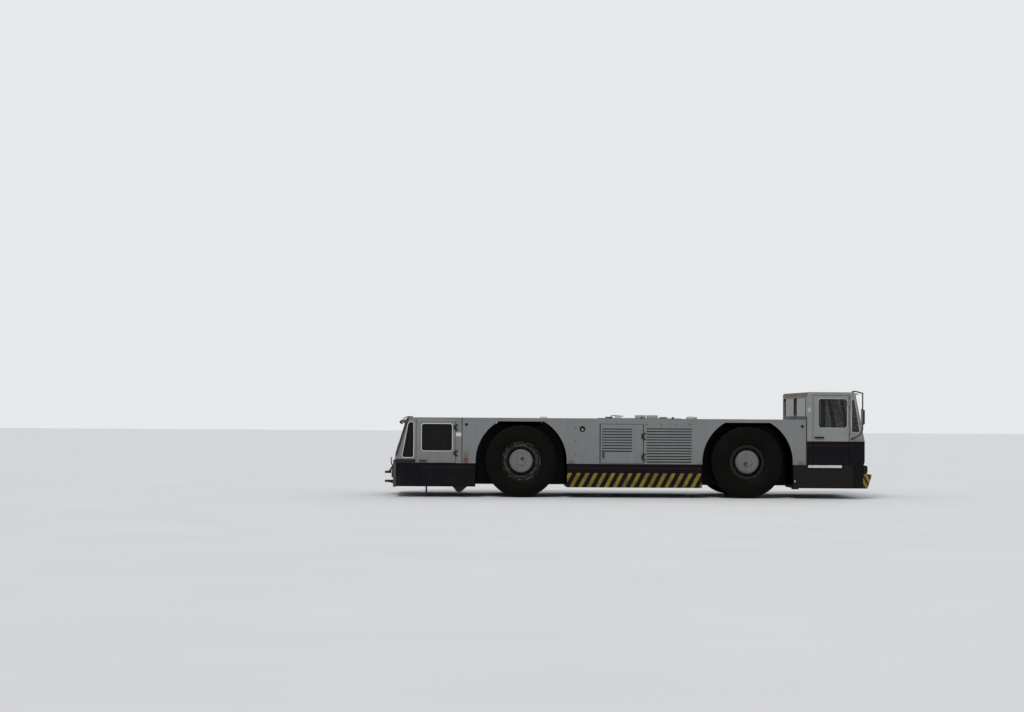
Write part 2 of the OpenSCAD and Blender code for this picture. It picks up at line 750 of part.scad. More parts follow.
module high_cab_shell() color("lightsteelblue") {
    difference() {
        slab(-side_y, side_y) polygon(rounded(high_outline, high_corners));
        slab(-side_y + wall_t, side_y - wall_t)
            polygon(opened(inset(high_outline, wall_t), belt_z + wall_t + inset_eps, belt_z - past));
        both_sides() {
            right_slab(side_y - wall_t - past, side_y + past) {
                polygon(rect(high_door_x0, belt_z - past, high_door_x1, high_door_top));
                polygon(rounded(high_quarter, pane_r * 0.5));
            }
            fore_slab(high_front_x - high_lean - wall_t - past, high_front_x + past)
                polygon(rounded(high_screen, pane_r));
            fore_slab(high_rear_x - past, high_rear_x + wall_t + past) polygon(rounded(rear_screen, pane_r));
        }
    }
    both_sides() for (z = high_barrels) hinge_post(high_door_x1, z, barrel_h);
    roof_front = high_front_x - high_lean;
    slab(-side_y + visor_in, side_y - visor_in) polygon([
        [roof_front - 12, roof_z - 38], [roof_front + visor_reach, roof_z - 44],
        [roof_front + visor_reach, roof_z - 30], [roof_front - 20, roof_z - 16]
    ]);
}

// The visor over the raised cab's windscreen
visor_in = 60;
visor_reach = 82;

barrel_h = 70;
low_barrels = [belt_z + 200, deck_z - 200];
high_barrels = [waist_z + 225, roof_z - 230];

glass_in = (wall_t - glass_t) / 2;

// A pane in a leaning front. dir is the way the front faces, edge is its line as [x0, z0, x1, z1]
module leaning_pane(screen, edge, dir) both_sides() intersection() {
    slab(-side_y, 0) polygon([
        [edge[0] - dir * glass_in, edge[1]], [edge[2] - dir * glass_in, edge[3]],
        [edge[2] - dir * (glass_in + glass_t), edge[3]], [edge[0] - dir * (glass_in + glass_t), edge[1]]
    ]);
    fore_slab(min(edge[0], edge[2]) - 100, max(edge[0], edge[2]) + 100)
        mirror([1, 0]) polygon(rounded(inset(screen, seat), pane_r - seat));
}

module side_pane(outline, r) right_slab(side_y - glass_in - glass_t, side_y - glass_in)
    polygon(rounded(inset(outline, seat), r - seat));

module low_cab_glass() color("black", 0.5) {
    both_sides() side_pane(low_quarter, pane_r);
    leaning_pane(low_screen, [low_front_x, low_sill_z, low_front_x + low_lean, deck_z], -1);
}

module high_cab_glass() color("black", 0.5) {
    both_sides() {
        side_pane(high_quarter, pane_r * 0.5);
        fore_slab(high_rear_x + glass_in, high_rear_x + glass_in + glass_t)
            polygon(rounded(inset(rear_screen, seat), pane_r - seat));
    }
    leaning_pane(high_screen, [high_front_x, waist_z, high_front_x - high_lean, roof_z], 1);
}

// Doors, made for the right side

module door_leaf(x0, x1, top, pane) {
    right_slab(side_y - wall_t, side_y) difference() {
        polygon(rect(x0 + door_gap, belt_z + door_gap, x1 - door_gap, top - door_gap));
        polygon(rounded(pane, pane_r));
    }
}

module low_door() {
    door_leaf(low_door_x0, low_door_x1, low_door_top, low_door_pane);
    door_pull(low_door_x0 + 67, belt_z + 34, 153, 30);
    for (z = low_barrels) hinge_barrel(low_door_x1, z, barrel_h);
}

module high_door() {
    door_leaf(high_door_x0, high_door_x1, high_door_top, high_door_pane);
    door_pull(high_door_x0 + 37, waist_z + 62, 187, 30);
    for (z = high_barrels) hinge_barrel(high_door_x1, z, barrel_h);
}

module low_door_right() color("lightsteelblue") low_door();
module low_door_left() color("lightsteelblue") mirror([0, 1, 0]) low_door();
module high_door_right() color("lightsteelblue") high_door();
module high_door_left() color("lightsteelblue") mirror([0, 1, 0]) high_door();
module low_door_right_glass() color("black", 0.5) side_pane(low_door_pane, pane_r);
module low_door_left_glass() color("black", 0.5) mirror([0, 1, 0]) side_pane(low_door_pane, pane_r);
module high_door_right_glass() color("black", 0.5) side_pane(high_door_pane, pane_r);
module high_door_left_glass() color("black", 0.5) mirror([0, 1, 0]) side_pane(high_door_pane, pane_r);

// Cab bases: skirts, floors and end walls

base_in = 4;
base_t = 40;
bumper_t = 60;
bumper_top = 745;

module base_sides(x0, x1) both_sides() right_slab(side_y - base_in - base_t, side_y - base_in)
    polygon(rect(x0, sill_z, x1, belt_z));

module low_cab_base() color("midnightblue") {
    base_sides(low_box_x, rear_arch_back);
    fore_slab(low_box_x, low_box_x + base_t) polygon(rect(-side_y + base_in, sill_z, side_y - base_in, belt_z));
    translate([low_box_x, -side_y + base_in + 1, low_floor_z - floor_t])
        cube([low_rear_x - low_box_x, body_w - 2 * base_in - 2, floor_t]);
    both_sides() right_slab(frame_out + seat, side_y - base_in - 1) {
        polygon(rect(low_rear_x, sill_z, low_rear_x + floor_t, belt_z));
    }
    fore_slab(low_box_x - bumper_t, low_box_x)
        polygon(rect(-side_y + base_in, sill_z - 10, side_y - base_in, belt_z - 1));
    fore_slab(low_box_x - bumper_t, low_front_x - 1)
        polygon(rect(-side_y + base_in, belt_z - 2, side_y - base_in, bumper_top));
}

module high_cab_base() color("#222222") {
    base_sides(front_arch_fore, high_box_x);
    fore_slab(high_box_x - base_t, high_box_x)
        polygon(rect(-side_y + base_in, sill_z + 20, side_y - base_in, belt_z));
    translate([high_rear_x, -side_y + base_in + 1, high_floor_z - floor_t])
        cube([high_box_x - high_rear_x, body_w - 2 * base_in - 2, floor_t]);
    both_sides() right_slab(frame_out + seat, side_y - base_in - 1)
        polygon(rect(high_rear_x - floor_t - 20, sill_z, high_rear_x - 20, belt_z));
}

// Seats: a pedestal, a cushion and a back rest

seat_y = 760;
module one_seat(x, floor_z, height, dir) translate([x, 0, floor_z]) {
    translate([-150, -150, 0]) cube([300, 300, height - 110]);
    translate([-240, -250, height - 110]) cube([480, 500, 110]);
    translate([-dir * 290 - 55, -240, height - 60]) cube([110, 480, 560]);
}

module seats() color("black") for (s = [-1, 1]) translate([0, s * seat_y, 0]) {
    one_seat(low_rear_x - 560, low_floor_z, 380, -1);
    one_seat(high_rear_x + 440, high_floor_z, 420, 1);
}

// Consoles: a dashboard across the cab with a steering column and wheel

wheel_rim_r = 195;
module steering_wheel() {
    rotate_extrude($fn = 48) translate([wheel_rim_r, 0]) circle(r = 14, $fn = 16);
    translate([0, 0, -14]) cylinder(h = 26, r = 48, $fn = 32);
    for (i = [0:2]) rotate([0, 0, 90 + i * 120]) translate([30, -14, -6]) cube([wheel_rim_r - 36, 28, 10]);
    translate([0, 0, -330]) cylinder(h = 320, r = 26, $fn = 24);
}

module consoles() color("#333333") {
    slab(-side_y + 120, side_y - 120) polygon([
        [low_front_x + 75, low_floor_z], [low_front_x + 240, low_floor_z],
        [low_front_x + 280, low_sill_z - 70], [low_front_x + 130, low_sill_z - 10], [low_front_x + 75, low_sill_z - 10]
    ]);
    translate([low_front_x + 370, -seat_y, low_sill_z + 110]) rotate([0, 40, 0]) steering_wheel();
    slab(-side_y + 120, side_y - 120) polygon([
        [high_front_x - 300, high_floor_z], [high_front_x - 90, high_floor_z],
        [high_front_x - 90, waist_z - 20], [high_front_x - 200, waist_z - 20], [high_front_x - 330, waist_z - 110]
    ]);
    translate([high_front_x - 380, -seat_y, waist_z + 130]) rotate([0, -40, 0]) steering_wheel();
}

// Towing jaws: two plates on a back plate, braced by ribs, made for the +X end. A lever
// to lift the towing pin stands on the back plate. The pin itself goes with the towbar

jaw_tip_r = 62;
jaw_half = 150;
jaw_back_t = 30;
jaw_back_half = 230;
jaw_back_z0 = jaw_z - 22;
jaw_back_top = belt_z - 10;
jaw_top_plate_z = jaw_z + jaw_t + jaw_mouth;
jaw_rib_t = 20;
lever_r = 11;

// Both jaws reach as far from the origin, so the one at the low cab is the longer
half_length = high_box_x + jaw_reach + jaw_tip_r;

module jaw(wall) {
    axis_x = half_length - jaw_tip_r;
    face = wall + jaw_back_t;
    translate([wall, -jaw_back_half, jaw_back_z0])
        cube([jaw_back_t, 2 * jaw_back_half, jaw_back_top - jaw_back_z0]);
    for (z = [jaw_z, jaw_top_plate_z]) translate([0, 0, z]) difference() {
        union() {
            linear_extrude(jaw_t) polygon([
                [face - 1, -jaw_half], [axis_x - 10, -jaw_half], [axis_x + jaw_tip_r - 2, -40],
                [axis_x + jaw_tip_r - 2, 40], [axis_x - 10, jaw_half], [face - 1, jaw_half]
            ]);
            translate([axis_x, 0, 0]) cylinder(h = jaw_t, r = jaw_tip_r, $fn = 64);
        }
        translate([axis_x, 0, -past]) cylinder(h = jaw_t + 2 * past, r = jaw_bore_r, $fn = 48);
    }
    for (y = [-jaw_half + 4, jaw_half - 4 - jaw_rib_t]) translate([0, y, 0]) {
        slab(0, jaw_rib_t) polygon([
            [face - 1, jaw_top_plate_z + jaw_t - 2], [axis_x - 20, jaw_top_plate_z + jaw_t - 2],
            [face - 1, jaw_back_top - 30]
        ]);
        slab(0, jaw_rib_t) polygon([
            [face - 1, jaw_z + 2], [axis_x - 20, jaw_z + 2], [face - 1, jaw_back_z0]
        ]);
    }
    tube([
        [face - 6, 0, jaw_back_top - 70], [face + 42, 0, jaw_back_top - 50], [face + 52, 0, jaw_back_top + 60],
        [face + 30, 0, jaw_back_top + 95]
    ], lever_r);
}

module tow_jaws() color("gold") {
    jaw(high_box_x);
    mirror([1, 0, 0]) jaw(-low_box_x + bumper_t);
}

// Mirrors on tube arms

mirror_half = [9, 85, 165];
module mirror_head(x, y, z) translate([x, y, z] - mirror_half) cube(2 * mirror_half);

// The raised cab's tube arm runs from a foot on the roof round the mirror to a foot on the
// side wall. The low cab's short arm carries a small round mirror
mirror_arm_out = 150;
mirror_arm_r = 14;
small_mirror_r = 46;
small_arm_r = 10;

module mirrors() color("#222222") both_sides() {
    arm = [high_front_x - 75, -side_y - mirror_arm_out];
    top = [high_front_x - high_lean - 40, -side_y + 40, roof_z + mirror_arm_r + 4];
    end = [high_front_x - 263, -side_y - mirror_arm_r - 4, waist_z + 55];
    tube([
        top, [top.x + 50, -side_y - 20, top.z], [arm.x, arm.y, roof_z - 20],
        [arm.x, arm.y, waist_z + 240], [arm.x - 45, arm.y + 60, waist_z + 130], end
    ], mirror_arm_r);
    translate([top.x, top.y, 0]) upright(24, roof_z + seat, top.z);
    translate([end.x, 0, end.z]) cross_rod(24, end.y, -side_y - seat);
    mirror_head(arm.x - 12, arm.y, waist_z + 500);
    low_top = [low_front_x + low_lean + 50, -side_y + 40, deck_z + small_arm_r + 4];
    low_end = [low_front_x + 140, -side_y - 80, deck_z - 95];
    tube([low_top, [low_top.x - 40, -side_y - 20, low_top.z], [low_end.x + 40, low_end.y, deck_z - 20], low_end],
        small_arm_r);
    translate([low_top.x, low_top.y, 0]) upright(20, deck_z + seat, low_top.z);
    translate(low_end) rotate([0, 90, 0]) translate([0, 0, -12]) cylinder(h = 24, r = small_mirror_r, $fn = 40);
}

// Lamps: a bezel with a domed lens
module lamp(r) {
    cylinder(h = 26, r = r, $fn = 40);
    translate([0, 0, 26]) cylinder(h = 12, r1 = r - 8, r2 = r - 24, $fn = 40);
}

// Columns: X, distance from the middle, Z, radius, facing along X
lamps_at = [
    [low_box_x - bumper_t, side_y - 320, 480, 90, -1],
    [low_box_x - bumper_t, side_y - 540, 480, 60, -1],
    [high_front_x, side_y - 320, 930, 90, 1],
    [high_front_x, side_y - 540, 930, 60, 1]
];

module lamps() color("white") both_sides() for (l = lamps_at)
    translate([l[0], -l[1], l[2]]) rotate([0, l[4] * 90, 0]) lamp(l[3]);

// Steps under the doors and the high cab's step rail
module step(x0, x1, z, hang) {
    right_slab(side_y - 190, side_y - base_in) polygon(rect(x0, z, x1, z + 30));
    for (x = [x0, x1 - 12]) right_slab(side_y - base_in - base_t, side_y - base_in) polygon(rect(x, z, x + 12, hang));
}

module steps() color("#444444") both_sides() {
    step(low_rear_x - 300, low_rear_x + 130, 75, sill_z);
    step(high_rear_x + 240, high_rear_x + 620, 110, sill_z);
    right_slab(side_y - base_in, side_y + 26) polygon(rect(high_rear_x + 35, belt_z - 55, high_rear_x + 723, belt_z - 3));
}

module knuckle_front_right() knuckle(front_axle_x, -1, 1);
module knuckle_front_left() knuckle(front_axle_x, 1, 1);
module knuckle_rear_right() knuckle(rear_axle_x, -1, -1);
module knuckle_rear_left() knuckle(rear_axle_x, 1, -1);
module tie_rod_front() tie_rod(front_axle_x, 1);
module tie_rod_rear() tie_rod(rear_axle_x, -1);
module tyre_front_right() tyre(front_axle_x, -1);
module tyre_front_left() tyre(front_axle_x, 1);
module tyre_rear_right() tyre(rear_axle_x, -1);
module tyre_rear_left() tyre(rear_axle_x, 1);
module rim_front_right() rim(front_axle_x, -1);
module rim_front_left() rim(front_axle_x, 1);
module rim_rear_right() rim(rear_axle_x, -1);
module rim_rear_left() rim(rear_axle_x, 1);

main_frame();
axles();
prop_shafts();
engine();
side_plates();
wheel_arches();
deck();
engine_hatch();
sills();
grilles();
service_door_right();
service_door_left();
fittings();
low_cab_base();
low_cab_shell();
low_cab_glass();
high_cab_base();
high_cab_shell();
high_cab_glass();
seats();
consoles();
tow_jaws();
mirrors();
lamps();
steps();
low_door_right();
low_door_left();
low_door_right_glass();
low_door_left_glass();
high_door_right();
high_door_left();
high_door_right_glass();
high_door_left_glass();
knuckle_front_right();
knuckle_front_left();
knuckle_rear_right();
knuckle_rear_left();
tie_rod_front();
tie_rod_rear();
tyre_front_right();
tyre_front_left();
tyre_rear_right();
tyre_rear_left();
rim_front_right();
rim_front_left();
rim_rear_right();
rim_rear_left();
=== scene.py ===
import math

import bmesh
import bpy
from mathutils import Matrix, Vector


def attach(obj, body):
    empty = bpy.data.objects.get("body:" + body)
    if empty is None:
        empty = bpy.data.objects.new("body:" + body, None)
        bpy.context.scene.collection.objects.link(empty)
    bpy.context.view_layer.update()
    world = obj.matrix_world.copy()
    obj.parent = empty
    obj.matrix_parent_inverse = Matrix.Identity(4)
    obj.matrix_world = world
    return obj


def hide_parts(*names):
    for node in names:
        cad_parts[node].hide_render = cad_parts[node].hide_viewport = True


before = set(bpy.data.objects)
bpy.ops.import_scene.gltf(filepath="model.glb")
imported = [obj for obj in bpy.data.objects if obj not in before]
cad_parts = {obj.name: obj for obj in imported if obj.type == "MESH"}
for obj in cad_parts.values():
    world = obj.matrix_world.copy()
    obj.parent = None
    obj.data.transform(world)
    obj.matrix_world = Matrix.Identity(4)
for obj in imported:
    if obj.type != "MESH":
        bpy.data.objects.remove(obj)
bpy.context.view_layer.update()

# Sizes and places of the tractor, in metres, as in the part's source
SIDE_Y = 1.5
DECK_Z = 1.615
BELT_Z = 0.69
WAIST_Z = 1.175
ROOF_Z = 2.18
FRONT_AXLE_X = 2.44
REAR_AXLE_X = -2.18
AXLE_Z = 0.74
TYRE_Y = 1.23
HUB_FACE_Y = 1.456
LOW_FRONT_X = -4.74
LOW_LEAN = 0.24
LOW_SILL_Z = 0.83
HIGH_FRONT_X = 4.841
HIGH_LEAN = 0.2
HIGH_REAR_X = 3.643
LOW_REAR_X = -3.395
HIGH_BOX_X = 4.806
SEAT_Y = 0.76


# Camera

CAMERA_AT = (-3.662, -43.875, 1.63)
CAMERA_YAW = math.radians(1.7325)
CAMERA_PITCH = math.radians(1.6805)
CAMERA_ROLL = math.radians(0.3543)
FOCAL_PIXELS = 2084.2
PHOTO_WIDTH = 1024
SENSOR = 36


def aim_camera():
    data = bpy.data.cameras.new("camera")
    data.sensor_width = SENSOR
    data.lens = FOCAL_PIXELS / PHOTO_WIDTH * SENSOR
    data.clip_end = 1000
    ahead = Vector((
        math.sin(CAMERA_YAW) * math.cos(CAMERA_PITCH),
        math.cos(CAMERA_YAW) * math.cos(CAMERA_PITCH),
        math.sin(CAMERA_PITCH),
    ))
    level_right = Vector((math.cos(CAMERA_YAW), -math.sin(CAMERA_YAW), 0))
    level_up = level_right.cross(ahead)
    right = level_right * math.cos(CAMERA_ROLL) + level_up * math.sin(CAMERA_ROLL)
    up = level_up * math.cos(CAMERA_ROLL) - level_right * math.sin(CAMERA_ROLL)
    camera = bpy.data.objects.new("camera", data)
    camera.matrix_world = Matrix.Translation(CAMERA_AT) @ Matrix((right, up, -ahead)).transposed().to_4x4()
    bpy.context.scene.collection.objects.link(camera)
    bpy.context.scene.camera = camera


aim_camera()


# Node helpers

class Value:
    """An output in a node tree, so that sums of outputs can be written as sums."""

    def __init__(self, tree, socket):
        self.tree = tree
        self.socket = socket

    def node(self, kind, output, **inputs):
        """The output of a new node. inputs are named as its sockets are, with _ for a space."""
        node = self.tree.nodes.new(kind)
        dress(node, **inputs)
        return Value(self.tree, node.outputs[output])

    def maths(self, operation, first, second=0.0):
        node = self.tree.nodes.new("ShaderNodeMath")
        node.operation = operation
        plug(node.inputs[0], first)
        plug(node.inputs[1], second)
        return Value(self.tree, node.outputs[0])

    def __add__(self, other):
        return self.maths("ADD", self, other)

    def __radd__(self, other):
        return self.maths("ADD", other, self)

    def __sub__(self, other):
        return self.maths("SUBTRACT", self, other)

    def __rsub__(self, other):
        return self.maths("SUBTRACT", other, self)

    def __mul__(self, other):
        return self.maths("MULTIPLY", self, other)

    def __truediv__(self, other):
        return self.maths("DIVIDE", self, other)

    def __abs__(self):
        return self.maths("ABSOLUTE", self)

    def sine(self):
        return self.maths("SINE", self)

    def fraction(self):
        return self.maths("FRACT", self)

    def root(self):
        return self.maths("SQRT", self)

    def angle_from(self, across):
        return self.maths("ARCTAN2", self, across)

    def at_most(self, other):
        return self.maths("MINIMUM", self, other)

    def at_least(self, other):
        return self.maths("MAXIMUM", self, other)

    def ramp(self, low, high, start=0.0, end=1.0):
        """Take low..high to start..end, held at both ends."""
        limits = {"From_Min": low, "From_Max": high, "To_Min": start, "To_Max": end}
        return self.node("ShaderNodeMapRange", 0, Value=self, **limits)

    def band(self, low, high, soft=0.002):
        """1 between low and high, with soft edges."""
        return self.ramp(low - soft, low + soft) * self.ramp(high - soft, high + soft, 1.0, 0.0)

    def mix(self, first, second):
        """The first colour where this is 0 and the second where it is 1."""
        return mixed(self.tree, self, first, second)

    def noise(self, scale, detail=4.0, stretch=None):
        where = self.node("ShaderNodeMapping", 0, Vector=self, Scale=stretch) if stretch else self
        return self.node("ShaderNodeTexNoise", "Fac", Vector=where, Scale=scale, Detail=detail)

    def bump(self, strength, distance=0.004):
        return self.node("ShaderNodeBump", 0, Height=self, Strength=strength, Distance=distance)


def plug(target, value):
    """Join a value to a socket, or set the socket's own constant."""
    if isinstance(value, Value):
        value.tree.links.new(value.socket, target)
    else:
        target.default_value = value


def dress(node, **values):
    """Give a node's sockets their values. _ stands for a space in a socket's name."""
    for name, value in values.items():
        plug(node.inputs[name.replace("_", " ")], value)


def mixed(tree, factor, first, second, blend="MIX"):
    node = tree.nodes.new("ShaderNodeMix")
    node.data_type = "RGBA"
    node.blend_type = blend
    plug(node.inputs[0], factor)
    plug(node.inputs[6], first)
    plug(node.inputs[7], second)
    return Value(tree, node.outputs[2])


def places(node):
    """Object coordinates for a node's tree, whole and as x, y and z."""
    tree = node.id_data
    where = tree.nodes.new("ShaderNodeTexCoord").outputs["Object"]
    split = tree.nodes.new("ShaderNodeSeparateXYZ")
    tree.links.new(where, split.inputs[0])
    return [Value(tree, socket) for socket in (where, *split.outputs)]


def new_group(name, inputs, outputs):
    """An empty node group. inputs are rows of name, kind and value, outputs of name and kind."""
    tree = bpy.data.node_groups.new(name, "ShaderNodeTree")
    for label, kind, value in inputs:
        socket = tree.interface.new_socket(name=label, in_out="INPUT", socket_type="NodeSocket" + kind)
        socket.default_value = value
    for label, kind in outputs:
        tree.interface.new_socket(name=label, in_out="OUTPUT", socket_type="NodeSocket" + kind)
    given = tree.nodes.new("NodeGroupInput")
    given_values = {socket.name: Value(tree, socket) for socket in given.outputs}
    return tree, given_values, tree.nodes.new("NodeGroupOutput")


def place_group(shader, group, **values):
    """Place a group beside the shader and give back its outputs by name."""
    tree = shader.id_data
    node = tree.nodes.new("ShaderNodeGroup")
    node.node_tree = group
    dress(node, **values)
    return {socket.name: Value(tree, socket) for socket in node.outputs}


def new_material(name, **values):
    """A material and its Principled shader, with constants for the shader's own sockets."""
    material = bpy.data.materials.new(name)
    material.use_nodes = True
    shader = material.node_tree.nodes["Principled BSDF"]
    dress(shader, **values)
    return material, shader


# Shared effects

def weather_group():
    """Road dirt that runs down a painted panel, splashes at its foot, and rust."""
    tree, given, result = new_group(
        "weathered paint",
        [
            ("Paint", "Color", (0.5, 0.5, 0.5, 1)),
            ("Dirt", "Color", (0.06, 0.055, 0.045, 1)),
            ("Grime", "Float", 0.5),
            ("Foot", "Float", 0.7),
            ("Rust", "Float", 0.3),
        ],
        [("Color", "Color"), ("Roughness", "Float"), ("Height", "Float")],
    )
    where, x, y, z = places(result)
    cloud = where.noise(1.3, 8.0).ramp(0.38, 0.72)
    streak = where.noise(1.0, 6.0, (16, 16, 0.9)).ramp(0.47, 0.78)
    speck = where.noise(34.0, 6.0).ramp(0.52, 0.75)
    above_foot = z - given["Foot"]
    splash = above_foot.ramp(0.0, 0.42, 1.0, 0.0) * where.noise(5.0, 8.0)
    dirt = cloud * 0.45 + streak * 0.55 + speck * 0.16 + splash * 0.9
    dirt = (dirt * given["Grime"]).at_most(0.92)
    spots = where.noise(7.0, 7.0).ramp(0.60, 0.68)
    runs = where.noise(1.0, 5.0, (22, 22, 1.6)).ramp(0.60, 0.75)
    near_foot = above_foot.ramp(0.0, 0.5, 1.0, 0.12)
    rust = spots.at_least(runs * 0.5) * near_foot
    rust = (rust * given["Rust"]).at_most(1.0)
    rust_colour = where.noise(40.0).mix((0.045, 0.020, 0.010, 1), (0.13, 0.058, 0.028, 1))
    shade = where.noise(0.7, 3.0).mix((0.93, 0.93, 0.93, 1), (1.06, 1.06, 1.06, 1))
    toned = mixed(tree, 1.0, given["Paint"], shade, "MULTIPLY")
    pits = where.noise(90.0, 3.0) * (rust + 0.12)
    dents = where.noise(2.2, 2.0) * 0.6
    dress(
        result,
        Color=rust.mix(dirt.mix(toned, given["Dirt"]), rust_colour),
        Roughness=(dirt * 0.38 + rust * 0.4 + 0.36).at_most(0.95),
        Height=pits + dents,
    )
    return tree


def grain_group():
    """Fine moulded grain with a little dust, for rubber and plastic."""
    tree, given, result = new_group(
        "moulded grain",
        [
            ("Base", "Color", (0.02, 0.02, 0.02, 1)),
            ("Dust", "Color", (0.10, 0.095, 0.085, 1)),
            ("Dusty", "Float", 0.3),
            ("Grain", "Float", 300.0),
        ],
        [("Color", "Color"), ("Roughness", "Float"), ("Height", "Float")],
    )
    where = places(result)[0]
    fine = where.noise(given["Grain"], 2.0)
    cloud = where.noise(3.5, 8.0).ramp(0.35, 0.75)
    speck = where.noise(48.0, 5.0).ramp(0.5, 0.8)
    dust = ((cloud + speck) * given["Dusty"]).at_most(1.0)
    colour = dust.mix(given["Base"], given["Dust"])
    dress(result, Color=colour, Roughness=dust.ramp(0.0, 1.0, 0.48, 0.9), Height=fine)
    return tree


WEATHER = weather_group()
GRAIN = grain_group()

# Paint colours, linear
GREY = (0.178, 0.184, 0.186, 1)
PALE_GREY = (0.222, 0.229, 0.222, 1)
NAVY = (0.0034, 0.0034, 0.0058, 1)
BLACK = (0.004, 0.004, 0.004, 1)
DARK_RED = (0.040, 0.006, 0.012, 1)
YELLOW = (0.27, 0.195, 0.034, 1)
WHITE = (0.60, 0.60, 0.58, 1)
GRIME = (0.060, 0.054, 0.046, 1)
DARK_GRIME = (0.014, 0.012, 0.010, 1)
HUB_GREY = (0.145, 0.142, 0.146, 1)
TYRE_BLACK = (0.0032, 0.0029, 0.0024, 1)
TYRE_DUST = (0.011, 0.0095, 0.007, 1)
SOOT = (0.030, 0.027, 0.026, 1)

# How strongly the dark paints shine
DARK_SHINE = 0.08


# Finishes

def finish_paint(shader, paint, grime, foot, rust, dirt=GRIME):
    """Weathered paint on the shader, with road dirt up from foot."""
    out = place_group(shader, WEATHER, Paint=paint, Dirt=dirt, Grime=grime, Foot=foot, Rust=rust)
    dress(shader, Base_Color=out["Color"], Roughness=out["Roughness"], Normal=out["Height"].bump(0.25))


def painted(name, paint, grime, foot, rust, dirt=GRIME, shine=0.35):
    material, shader = new_material(name, Specular_IOR_Level=shine)
    finish_paint(shader, paint, grime, foot, rust, dirt)
    return material


def side_depth(y):
    """How far inside the side plates' outer faces a point is."""
    return SIDE_Y - abs(y)


def proud_part(y):
    """1 on what stands out from the side walls, such as pulls and hinge barrels."""
    return side_depth(y).ramp(-0.006, -0.003, 1.0, 0.0)


# Painted shade in the gaps of the side panels' seams: from and to along X, lower and upper edge
SHADED_SEAMS = [
    (LOW_REAR_X, LOW_REAR_X + 0.018, BELT_Z, DECK_Z), (HIGH_REAR_X - 0.010, HIGH_REAR_X, BELT_Z, DECK_Z),
    (-0.586, -0.566, 0.70, 1.50), (0.309, 0.318, 0.70, 1.50),
]

# Rust at the panels' feet: from and to along X, its top, and how strong it is
RUST_PATCHES = [
    (-3.35, -3.25, 0.97, 1.9), (-1.228, -1.095, 0.78, 0.9), (1.41, 1.49, 0.76, 0.9), (3.45, 3.60, 0.79, 1.1),
]
RUST_BROWN = (0.100, 0.048, 0.028, 1)


def side_marks(where, x, z, paint):
    """Paint with painted shade, in black, along the seams' gaps, and with rust patches along the belt."""
    for start, stop, low, high in SHADED_SEAMS:
        # Painted shade: a black band where each seam's gap lies in shadow
        seam = x.band(start, stop, 0.001) * z.band(low, high)
        paint = seam.mix(paint, BLACK)
    rough = where.noise(11.0, 6.0).ramp(0.32, 0.58)
    for start, stop, top, strength in RUST_PATCHES:
        patch = x.band(start, stop, 0.02) * z.ramp(BELT_Z, top, strength, 0.0)
        paint = (patch * rough).at_most(0.95).mix(paint, RUST_BROWN)
    return paint


def louvred_grey():
    """Body paint on the outer faces, with painted shade, in black, in slots and recesses."""
    material, shader = new_material("louvred grey", Specular_IOR_Level=0.35)
    where, x, y, z = places(shader)
    # Painted shade: faces sunk deep into the side plates are painted black; the pulls and hinges join in,
    # black in their own paint
    deep = side_depth(y).ramp(0.005, 0.014) * z.ramp(DECK_Z - 0.006, DECK_Z - 0.003, 1.0, 0.0)
    deep = deep.at_least(proud_part(y))
    paint = deep.mix(side_marks(where, x, z, GREY), BLACK)
    finish_paint(shader, paint, 0.3, BELT_Z, 0.15)
    return material


def low_cab_paint():
    """Body paint, navy along the foot of the nose, with black pulls and hinges."""
    material, shader = new_material("low cab paint", Specular_IOR_Level=0.3)
    where, x, y, z = places(shader)
    nose = x.ramp(-4.335, -4.325, 1.0, 0.0) * z.ramp(0.764, 0.772, 1.0, 0.0)
    paint = nose.mix(GREY, NAVY)
    paint = proud_part(y).mix(paint, BLACK)
    finish_paint(shader, paint, 0.3, BELT_Z, 0.15, nose.mix(GRIME, DARK_GRIME))
    return material


def raised_cab_paint():
    """Grey above the waist, navy below with a thin red line, brown over the rear window."""
    material, shader = new_material("raised cab paint", Specular_IOR_Level=0.1)
    where, x, y, z = places(shader)
    navy_part = z.ramp(WAIST_Z - 0.002, WAIST_Z + 0.002, 1.0, 0.0)
    line = z.band(1.078, 1.092) * x.band(HIGH_REAR_X + 0.03, 4.62) * side_depth(y).ramp(0.0, 0.02, 1.0, 0.0)
    rear = x.ramp(HIGH_REAR_X + 0.012, HIGH_REAR_X + 0.016, 1.0, 0.0)
    header = rear * z.band(2.07, 2.2)
    pale_strip = rear * z.band(2.045, 2.085)
    foot = rear * z.ramp(1.672, 1.680, 1.0, 0.0)
    post = rear * abs(y).ramp(0.04, 0.045, 1.0, 0.0)
    hinge = x.band(4.522, 4.536, 0.002) * z.band(WAIST_Z, 2.12)
    pull = proud_part(y) * x.ramp(4.30, 4.31, 1.0, 0.0)
    visor = x.ramp(4.66, 4.668) * z.ramp(2.1, 2.11)
    paint = navy_part.mix(PALE_GREY, NAVY)
    for part, colour in (
        (line, DARK_RED),
        (header, (0.075, 0.048, 0.034, 1)),
        (pale_strip, (0.24, 0.20, 0.12, 1)),
        (foot, SOOT),
        (post, SOOT),
        (hinge * 0.7, (0.050, 0.022, 0.014, 1)),
        (pull, BLACK),
        (visor, BLACK),
    ):
        paint = part.mix(paint, colour)
    finish_paint(shader, paint, 0.22, BELT_Z, 0.06, navy_part.mix(GRIME, DARK_GRIME))
    return material


# Lower and upper edge of the red line on the bases and the skirt
BASE_LINE = (0.598, 0.612)


